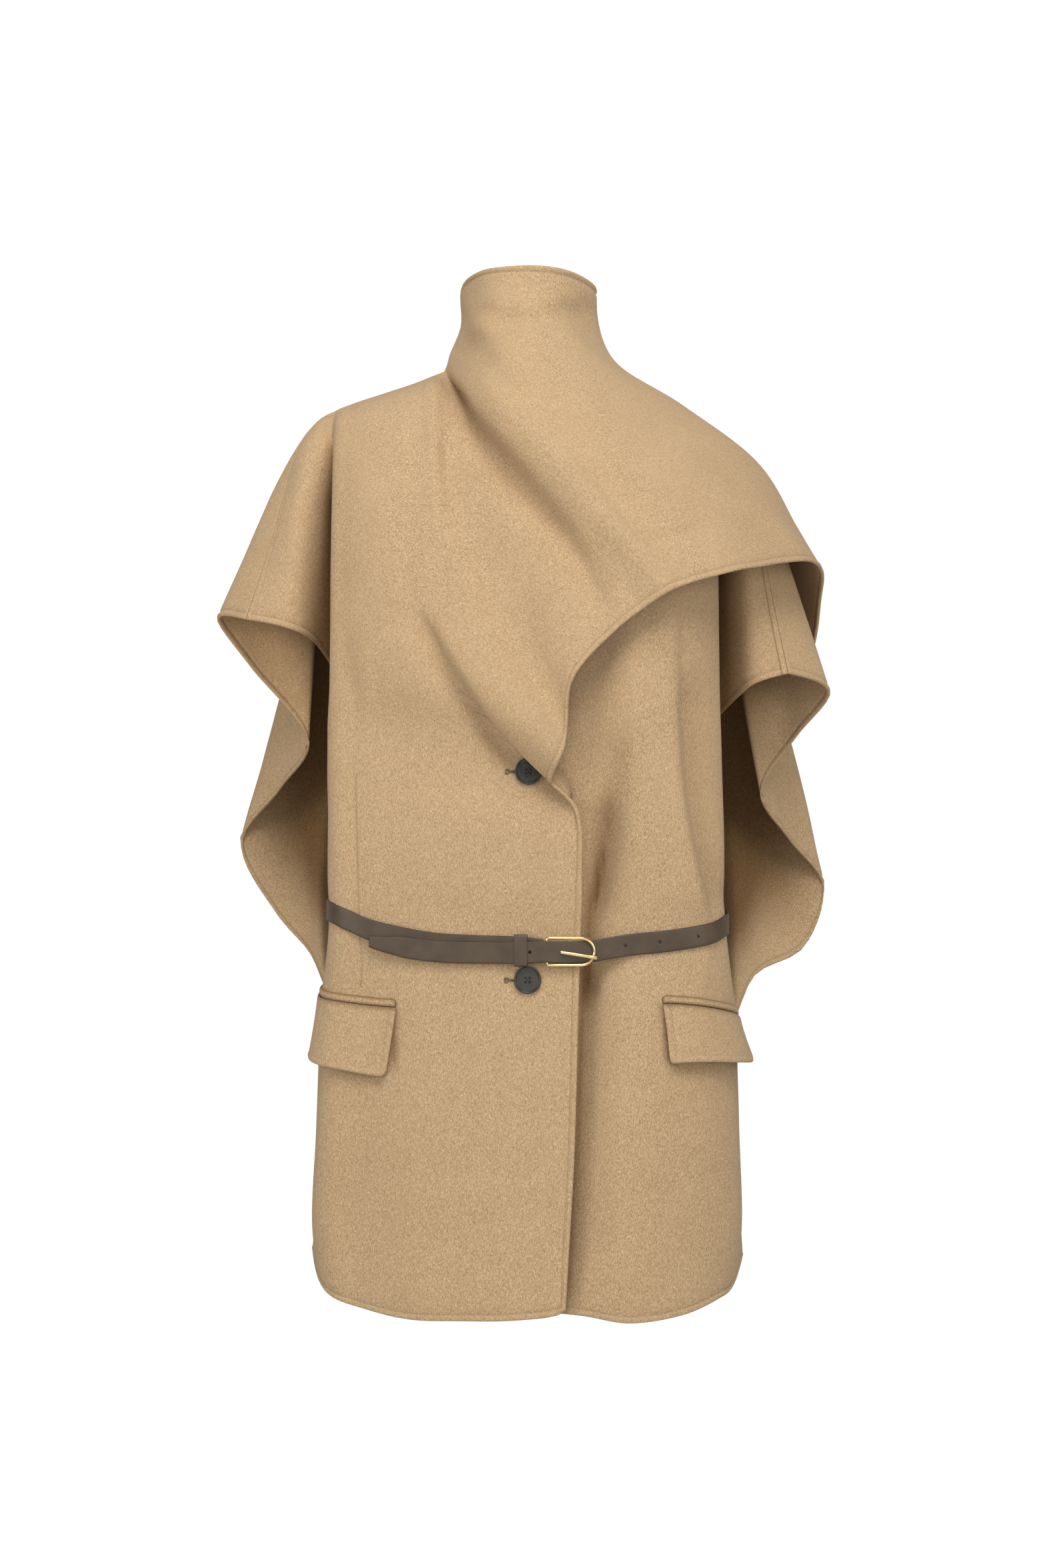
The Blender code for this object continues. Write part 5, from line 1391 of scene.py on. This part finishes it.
# The way the nap is brushed: places across and up on each piece's front or back, and how far
# the nap leans there, in degrees from straight down
Nap = namedtuple("Nap", "x z lean side", defaults=[-1])
NAP = {
    "right_front": (
        Nap(-130, -60, 45), Nap(-95, -150, 45), Nap(-130, -220, 32), Nap(-110, -310, 10),
        Nap(-60, -420, 8), Nap(-120, -520, 5), Nap(-60, -680, 6), Nap(-130, -800, 4),
        Nap(-205, -120, -14), Nap(-212, -200, -18), Nap(-50, -110, 42), Nap(-10, -230, 30),
        Nap(10, -70, 34), Nap(70, -140, 38), Nap(110, -190, 30), Nap(110, -90, -26),
        Nap(170, -130, -36), Nap(220, -170, -44), Nap(-45, 40, 45), Nap(-15, 70, 12),
        Nap(20, 60, -4), Nap(60, 20, -20), Nap(60, 0, -20, 1), Nap(120, -120, -34, 1),
        Nap(190, -250, -24, 1), Nap(10, 60, 0, 1),
    ),
    "left_front": (
        Nap(60, -320, 14), Nap(80, -450, 10), Nap(145, -400, -20), Nap(175, -460, -7),
        Nap(80, -640, 8), Nap(150, -640, -10), Nap(110, -800, 3), Nap(205, -200, -15),
        Nap(212, -270, -12),
    ),
    "back": (
        Nap(-120, -120, -18, 1), Nap(0, -120, 4, 1), Nap(120, -120, 20, 1), Nap(-220, -200, -26, 1),
        Nap(230, -220, 26, 1), Nap(-80, -420, -6, 1), Nap(90, -420, 8, 1), Nap(-90, -740, 5, 1),
        Nap(90, -740, -5, 1), Nap(-230, -200, -20), Nap(235, -250, 22),
    ),
}
# How far a place's lean reaches, the weight of no lean at all, and the share that a place
# has on the piece's other side
NAP_REACH = 55.0
NAP_LEAST = 1e-5
NAP_OTHER_SIDE = 0.02

# The dart that shapes the right front over the wearer's chest, as places across and up
DART = ((-157.5, -378), (-157, -420), (-155, -490), (-154, -520), (-152, -545), (-153.5, -576))
DART_SAMPLES = 101
DART_FRONT = -20

# Evenly spread unevenness of the wool: the height of each layer of soft waves, and its scale
WAVES = ((0.55, 0.011), (0.22, 0.028))
# How far in from a border, a seam and the belt's middle the waves or folds start, and how
# soon they are whole
CALM = (4.0, 22.0)
HELD = (3.0, 20.0)
BELTED = (12.0, 14.0)


def brush(mesh, name, dart=None):
    """The nap's lean at each point, where 1 is NAP_LEAN, and its distance from the dart."""
    points = np.empty(len(mesh.vertices) * 3)
    mesh.vertices.foreach_get("co", points)
    x, y, z = points.reshape(-1, 3).T / MM
    total, leans = np.full(len(x), NAP_LEAST), np.zeros(len(x))
    for row in NAP.get(name, ()):
        weight = bell(np.hypot(x - row.x, z - row.z), NAP_REACH)
        weight = weight * np.where(y * row.side > 0, 1.0, NAP_OTHER_SIDE)
        total += weight
        leans += weight * row.lean
    away = np.full(len(x), FAR)
    if dart:
        path = sampled(dart, DART_SAMPLES)
        inside = (z < path[0, 1]) & (z > path[-1, 1]) & (y < DART_FRONT)
        away[inside] = (x - np.interp(-z, -path[:, 1], path[:, 0]))[inside]
    add_values(mesh, "slant", np.clip(leans / total / NAP_LEAN, -1, 1))
    add_values(mesh, "dart", np.clip(away, -FAR, FAR))


def cloth_piece(name, grid, flip, wool, dart=None):
    cloth = Cloth(grid, flip)
    points = cloth.points
    waves = sum(np.array([size * noise.noise(Vector(point) * scale) for point in points])
                for size, scale in WAVES)
    from_belt = np.abs(points[:, 2] - belt_height(bearing_of(points)))
    calm, held, belt = (np.clip((values - start) / reach, 0, 1) for values, (start, reach) in (
        (cloth.border, CALM), (cloth.seam, HELD), (from_belt, BELTED)))
    moved = waves * belt * calm + soft_lines(FOLDS.get(name, ()), points) * held
    cloth.points = points = points + cloth.normals() * moved[:, None]
    cloth.grid[cloth.whole] = points
    shade = soft_lines(SHADES.get(name, ()), points)
    shade = shade + soft_lines(FLAP_SHADES.get(name, ()), points, FLAP_SHADE_FADE)
    mesh = shell_mesh(f"{name}_wool", cloth, seam_depth=SEAM_STITCH.get(name, 0.0), shade=shade,
                      lit=soft_lines(INNER_PAINTED_LIGHT.get(name, ()), points))
    brush(mesh, name, dart)
    return cloth, place(f"{name}_wool", mesh, wool, "camel_wool", name)


def add_pocket(name, panel, pocket, side, wool):
    """A flap and the welt above it, on one front."""
    up = pocket.welt_height
    raised = pocket._replace(side_top=pocket.side_top + up, front_top=pocket.front_top + up)
    for kind, at_line, depth, cut, hangs, corner in (
        ("flap", pocket, pocket.depth, pocket.depth, 1, FLAP_CORNERS[name]),
        ("welt", raised, up, up - SEAM_GAP, 0, WELT_CORNER),
    ):
        cloth = Cloth(pocket_piece(panel, at_line, side, cut, hangs, corner, not hangs), side > 0,
                      sewn_top=bool(hangs))
        title = f"pocket_{kind}_{name}"
        shade = (FLAP_SHADE * bell(cloth.down, FLAP_SHADE_WIDTH) if hangs
                 else WELT_SHADE * bell(cloth.border, WELT_SHADE_WIDTH))
        mesh = shell_mesh(f"{title}_wool", cloth, stitched=FLAP_STITCH * hangs, welt=not hangs,
                          shade=shade)
        brush(mesh, f"{name}_front")
        made = place(f"{title}_wool", mesh, wool, "camel_wool", title)


def declare(cloth, flat):
    area = min(cloth.area(), flat[0] * flat[1])


def seated(panel, x, z, radius):
    """Where a round piece rests on a panel: its place, and the ways across, up and out."""
    reach = radius * SEAT_REACH
    slope_x = (panel.depth(x + reach, z) - panel.depth(x - reach, z)) / (2 * reach)
    slope_z = (panel.depth(x, z + reach) - panel.depth(x, z - reach)) / (2 * reach)
    middle = panel.depth(x, z)
    rise = 0.0
    for turn in np.linspace(0, 2 * math.pi, SEAT_SPOTS, endpoint=False):
        for part in (0.5, 1.0):
            dx, dz = radius * part * math.cos(turn), radius * part * math.sin(turn)
            rise = max(rise, middle + slope_x * dx + slope_z * dz - panel.depth(x + dx, z + dz))
    out = Vector((slope_x, -1, slope_z)).normalized()
    across = Vector((1, slope_x, 0)).normalized()
    return Vector((x, middle, z)) + out * (WALL + CLEARANCE + rise), across, out.cross(across), out


def frame_matrix(origin, across, up, out):
    """Local X across, local Y up and local Z out, in metres."""
    turn = Matrix((across, up, out)).transposed().to_4x4()
    return Matrix.Translation(Vector(origin) * MM) @ turn


def mesh_of(shape, name):
    mesh = bpy.data.meshes.new(name)
    shape.to_mesh(mesh)
    shape.free()
    return mesh


def evaluated(piece):
    """The mesh of a piece with its modifiers or bevel applied."""
    graph = bpy.context.evaluated_depsgraph_get()
    return bpy.data.meshes.new_from_object(piece.evaluated_get(graph))


def curve_mesh(name, paths, cyclic, swell=None, **settings):
    """The mesh of a curve through paths in millimetres. Swell scales its radius along it."""
    data = bpy.data.curves.new(name, "CURVE")
    for title, value in settings.items():
        setattr(data, title, value)
    for points in paths:
        spline = data.splines.new("POLY")
        spline.points.add(len(points) - 1)
        for spot, point in zip(spline.points, points):
            spot.co = (*(Vector(point) * MM), 1.0)
        if swell is not None:
            spline.points.foreach_set("radius", swell)
        spline.use_cyclic_u = cyclic
    helper = linked(name + "_curve", data)
    mesh = evaluated(helper)
    bpy.data.objects.remove(helper)
    mesh.materials.clear()
    return mesh


def tube_mesh(name, paths, radius, cyclic=False, resolution=5, swell=None):
    """Round wires along paths in millimetres, as one mesh."""
    mesh = curve_mesh(name, paths, cyclic, swell, dimensions="3D", bevel_depth=radius * MM,
                      bevel_resolution=resolution, use_fill_caps=not cyclic)
    mesh.shade_smooth()
    return mesh


def button_mesh(name):
    """A turned button with a raised rim and a dished face."""
    profile = sampled([(r, 0.0, h) for r, h in BUTTON_LATHE], BUTTON_RINGS)
    shape = bmesh.new()
    rings = [[shape.verts.new((radius * math.cos(t), radius * math.sin(t), height))
              for t in np.linspace(0, 2 * math.pi, LATHE_STEPS, endpoint=False)]
             for radius, _, height in profile[1:-1]]
    following = [*range(1, LATHE_STEPS), 0]
    for low, high in zip(rings, rings[1:]):
        for i, j in enumerate(following):
            shape.faces.new((low[i], high[i], high[j], low[j]))
    for ring, end in ((rings[0], 0), (rings[-1], -1)):
        tip = shape.verts.new((0, 0, profile[end, 2]))
        for i, j in enumerate(following):
            shape.faces.new((ring[j], ring[i], tip) if end else (ring[i], ring[j], tip))
    bmesh.ops.recalc_face_normals(shape, faces=shape.faces)
    return mesh_of(shape, name)


def drilled(mesh, matrices, radius, depth):
    """The mesh with round holes cut through it along each matrix's Z."""
    target = linked("drilled", mesh)
    helpers = [target]
    for matrix in matrices:
        shape = bmesh.new()
        bmesh.ops.create_cone(shape, cap_ends=True, segments=DRILL_SEGMENTS, radius1=radius,
                              radius2=radius, depth=depth)
        bit = linked("bit", mesh_of(shape, "bit"))
        bit.matrix_world = matrix
        helpers.append(bit)
        cut = target.modifiers.new("Hole", "BOOLEAN")
        cut.operation, cut.solver, cut.object = "DIFFERENCE", "EXACT", bit
    made = evaluated(target)
    for helper in helpers:
        bpy.data.objects.remove(helper)
    made.shade_smooth()
    return made


def add_button(name, panel, centre, horn, thread):
    """A button seated on the cloth, and the threads crossed through its four holes."""
    matrix = frame_matrix(*seated(panel, *centre, BUTTON_RADIUS))
    height, depth = BUTTON_BITS
    bits = [Matrix.Translation((x * BUTTON_HOLE_SPREAD, y * BUTTON_HOLE_SPREAD, height))
            for x in (-1, 1) for y in (-1, 1)]
    mesh = drilled(button_mesh(name), bits, BUTTON_HOLE_RADIUS, depth)
    mesh.transform(matrix @ Matrix.Scale(MM, 4))
    place(f"{name}_horn", mesh, horn, "dark_horn", name)
    paths = [[(y * BUTTON_HOLE_SPREAD + shift, turn * y * BUTTON_HOLE_SPREAD + shift, z)
              for y, z in THREAD_RISE]
             for turn in (-1, 1) for shift in (-THREAD_SHIFT, THREAD_SHIFT)]
    threads = tube_mesh(f"{name}_thread", paths, THREAD_RADIUS, resolution=2)
    threads.transform(matrix)
    place(f"{name}_thread", threads, thread, "dark_horn")


def add_buttonhole(name, panel, centre, thread, dark):
    """The end of the worked hole that shows beside the button, with its fuzzy knot."""
    x0, z = centre
    chance = random.Random(KNOT_SEED)

    def spot(dx, dz, out=0.0):
        return (x0 + dx, panel.depth(x0 + dx, z + dz) - WALL - out, z + dz)

    paths = []
    for k in range(KNOT_THREADS):
        dx = HOLE_END + chance.uniform(-KNOT_SPREAD[0], KNOT_SPREAD[0])
        dz = chance.uniform(-KNOT_SPREAD[1], KNOT_SPREAD[1])
        way = chance.uniform(-KNOT_TURN, KNOT_TURN) + (0.0 if k % 3 else math.pi / 2)
        reach_x, reach_z = KNOT_REACH * math.sin(way), KNOT_REACH * math.cos(way)
        paths.append([spot(dx - reach_x, dz - reach_z), spot(dx, dz, chance.uniform(*KNOT_RISE)),
                      spot(dx + reach_x, dz + reach_z)])
    for dx in np.arange(STITCHES_FROM, HOLE_NEAR, HOLE_STITCH):
        for side in (-1, 1):
            far = chance.uniform(*STITCH_REACH)
            middle, end = (chance.uniform(-stray, stray) for stray in STITCH_STRAYS)
            paths.append([spot(dx, side * 0.4, 0.1), spot(dx + middle, side * far * 0.6, 0.4),
                          spot(dx + end, side * far)])
    place(name, tube_mesh(name, paths, KNOT_RADIUS, resolution=1), thread, "camel_wool")
    slit = [spot(dx, 0.0, SLIT_OUT) for dx in np.linspace(SLIT_FROM, HOLE_NEAR, SLIT_STEPS)]
    mesh = tube_mesh(f"{name}_slit", [slit], SLIT_RADIUS, resolution=2,
                     swell=np.linspace(*SLIT_SWELL, SLIT_STEPS))
    place(f"{name}_slit", mesh, dark, "camel_wool")


def add_strap(belt, leather):
    cloth = Cloth(strap_grid(belt), True)
    mesh = shell_mesh("belt_strap_leather", cloth, wall=STRAP_WALL, stitched=0.0)
    up = Vector((0, 0, 1))
    matrices = []
    for turn in STRAP_HOLE_BEARINGS:
        (lift,), (drop,) = strap_rows(np.array([turn]))
        point, out = belt.at(turn, lift)
        point.z += drop
        matrices.append(frame_matrix(point, up.cross(out), up, out))
    mesh = drilled(mesh, matrices, STRAP_HOLE_RADIUS * MM, DRILL_DEPTH * MM)
    place("belt_strap_leather", mesh, leather, "taupe_leather", "belt_strap")


def rounded(half_width, half_height, corner):
    """A rectangle with rounded corners, round its middle."""
    points = []
    for quarter, (sx, sy) in enumerate(((1, 1), (-1, 1), (-1, -1), (1, -1))):
        for step in range(KEEPER_CORNER_STEPS + 1):
            turn = math.pi / 2 * (quarter + step / KEEPER_CORNER_STEPS)
            points.append((sx * (half_width - corner) + corner * math.cos(turn),
                           sy * (half_height - corner) + corner * math.sin(turn), 0))
    return points


def add_keeper(belt, leather):
    """A band round both layers of the strap, bevelled along its edges."""
    up = Vector((0, 0, 1))
    point, out = belt.at(belt.bearing(KEEPER_X), sum(KEEPER_LIFTS) / 2)
    point.z = (KEEPER_TOP + KEEPER_BOTTOM) / 2
    half_depth = (KEEPER_LIFTS[1] - KEEPER_LIFTS[0]) / 2
    half_height = (KEEPER_TOP - KEEPER_BOTTOM) / 2
    outlines = [rounded(half_depth + wall, half_height + wall, corner)
                for wall, corner in zip((0, KEEPER_WALL), KEEPER_CORNERS)]
    mesh = curve_mesh("keeper", outlines, True, dimensions="2D", fill_mode="BOTH",
                      bevel_depth=KEEPER_BEVEL * MM, bevel_resolution=3, offset=-KEEPER_BEVEL * MM,
                      extrude=(KEEPER_WIDTH / 2 - KEEPER_BEVEL) * MM)
    mesh.transform(frame_matrix(point, out, up, out.cross(up)))
    add_values(mesh, "edge", FAR)
    place("belt_keeper_leather", mesh, leather, "taupe_leather", "belt_keeper")


def add_buckle(belt, gold):
    """A frame that is rounded at its end, and the prong that rests on it."""
    top = FRAME_HALF_HEIGHT
    middle = FRAME_END_X - top
    bar = [(BAR_X, y) for y in np.linspace(FRAME_CORNER - top, top - FRAME_CORNER, BAR_STEPS)]
    upper = [(BAR_X + FRAME_CORNER * (1 - math.cos(t)), top - FRAME_CORNER * (1 - math.sin(t)))
             for t in CORNER_TURNS]
    upper += [(x, top) for x in np.linspace(BAR_X + FRAME_CORNER + 1, middle, SIDE_STEPS)]
    end = [(middle + top * math.cos(t), top * math.sin(t))
           for t in np.linspace(math.pi / 2, -math.pi / 2, END_STEPS)[1:-1]]
    outline = bar + upper + end + [(x, -y) for x, y in reversed(upper)]
    loop = [belt.spot(x, FRAME_Z + y, FRAME_LIFT) for x, y in outline]
    mesh = tube_mesh("buckle_frame_gold", [loop], WIRE_RADIUS, cyclic=True)
    place("buckle_frame_gold", mesh, gold, "gold_metal", "buckle_frame")
    prong = sampled([belt.spot(*row) for row in PRONG], PRONG_STEPS)
    swell = np.interp(np.arange(PRONG_STEPS), *PRONG_SWELL)
    mesh = tube_mesh("buckle_prong_gold", [prong], PRONG_RADIUS, swell=swell)
    place("buckle_prong_gold", mesh, gold, "gold_metal", "buckle_prong")


def main():
    wool, leather = wool_material(), leather_material()
    gold, horn = metal_material(), horn_material()
    dark_thread = thread_material("button_thread", BUTTON_THREAD)
    hole_thread = thread_material("buttonhole_thread", HOLE_THREAD)

    (right_grid, right_across), (left_grid, left_across) = right_front_loft(), left_front_loft()
    right_cloth, right = cloth_piece("right_front", right_grid, False, wool, DART)
    left_cloth, left = cloth_piece("left_front", left_grid, False, wool)
    back_cloth, back = cloth_piece("back", back_loft()[0], True, wool)
    collar_cloth, collar = cloth_piece("collar_back", collar_loft()[0], True, wool)

    right_columns = right_cloth.grid[:, right_across[1]:right_across[2] + 1].transpose(1, 0, 2)[::2]
    left_columns = left_cloth.grid[:, left_across[1]::-1].transpose(1, 0, 2)[::2]
    right_panel, left_panel = Panel(right_columns), Panel(left_columns)
    tuck_panel = Panel(right_columns, before_fold=True)
    add_pocket("right", right_panel, RIGHT_POCKET, -1, wool)
    add_pocket("left", left_panel, LEFT_POCKET, 1, wool)

    belt = BeltLine(((right_panel, -1), (left_panel, 1)))
    add_strap(belt, leather)
    add_keeper(belt, leather)
    add_buckle(belt, gold)
    for name, centre in BUTTONS.items():
        add_button(f"button_{name}", tuck_panel, centre, horn, dark_thread)
        add_buttonhole(f"buttonhole_{name}", tuck_panel, centre, hole_thread, dark_thread)

    declare(right_cloth, (0.98, 1.02))
    declare(left_cloth, (0.40, 0.90))
    declare(back_cloth, (0.90, 0.95))
    declare(collar_cloth, (0.25, 0.09))


FLOOR_Z = -1.5
FLOOR_RADIUS = 1.3
FLOOR_SEGMENTS = 128
FLOOR_PALE = (0.88, 0.88, 0.88, 1)
WORLD_LIGHT = 0.36
WORLD_SEEN = 1.05
# Lights: bearing from the front towards the wearer's left, height angle, distance, size, power
Light = namedtuple("Light", "name bearing rise distance size power")
LIGHTS = (
    Light("top", 4, 52, 2.9, 1.4, 52.0),
    Light("side", 42, 12, 2.9, 1.3, 17.0),
    Light("left", -46, 8, 2.9, 1.3, 20.0),
    Light("front", 0, -8, 2.9, 1.6, 9.0),
)
LIGHT_AIM = Vector((0, 0, -0.4))
CAMERA_AT = (-0.0044, -2.8, -0.388)
CAMERA_LENS = 68.0
CAMERA_SENSOR = 36.0


def add_stage():
    """A plain pale floor and soft studio light."""
    shape = bmesh.new()
    bmesh.ops.create_circle(shape, cap_ends=True, segments=FLOOR_SEGMENTS, radius=FLOOR_RADIUS)
    mesh = mesh_of(shape, "floor")
    mesh.materials.append(Finish("floor_white", 0.9, Base_Color=FLOOR_PALE).made)
    floor = linked("floor", mesh)
    floor.location = (0, 0, FLOOR_Z)
    world = bpy.data.worlds.new("studio")
    world.use_nodes = True
    background = next(n for n in world.node_tree.nodes if n.type == "BACKGROUND")
    background.inputs["Color"].default_value = (1, 1, 1, 1)
    nodes = Nodes(world.node_tree)
    seen = nodes.add("LightPath", out="Is Camera Ray")
    strength = nodes.math("MULTIPLY_ADD", seen, WORLD_SEEN - WORLD_LIGHT, WORLD_LIGHT)
    nodes.join(strength, background.inputs["Strength"])
    bpy.context.scene.world = world
    for row in LIGHTS:
        light = bpy.data.lights.new(row.name, "AREA")
        light.size = row.size
        light.energy = row.power
        lamp = linked(row.name, light)
        turn, rise = math.radians(row.bearing), math.radians(row.rise)
        level = math.cos(rise)
        out = Vector((math.sin(turn) * level, -math.cos(turn) * level, math.sin(rise)))
        lamp.location = LIGHT_AIM + out * row.distance
        lamp.rotation_mode = "QUATERNION"
        lamp.rotation_quaternion = out.to_track_quat("Z", "Y")


def add_camera():
    data = bpy.data.cameras.new("camera")
    data.lens = CAMERA_LENS
    data.sensor_width = CAMERA_SENSOR
    made = linked("camera", data)
    made.location = CAMERA_AT
    made.rotation_euler = (math.pi / 2, 0, 0)
    bpy.context.scene.camera = made


main()
add_stage()
add_camera()
bpy.context.scene.view_settings.view_transform = "Standard"
bpy.context.view_layer.update()
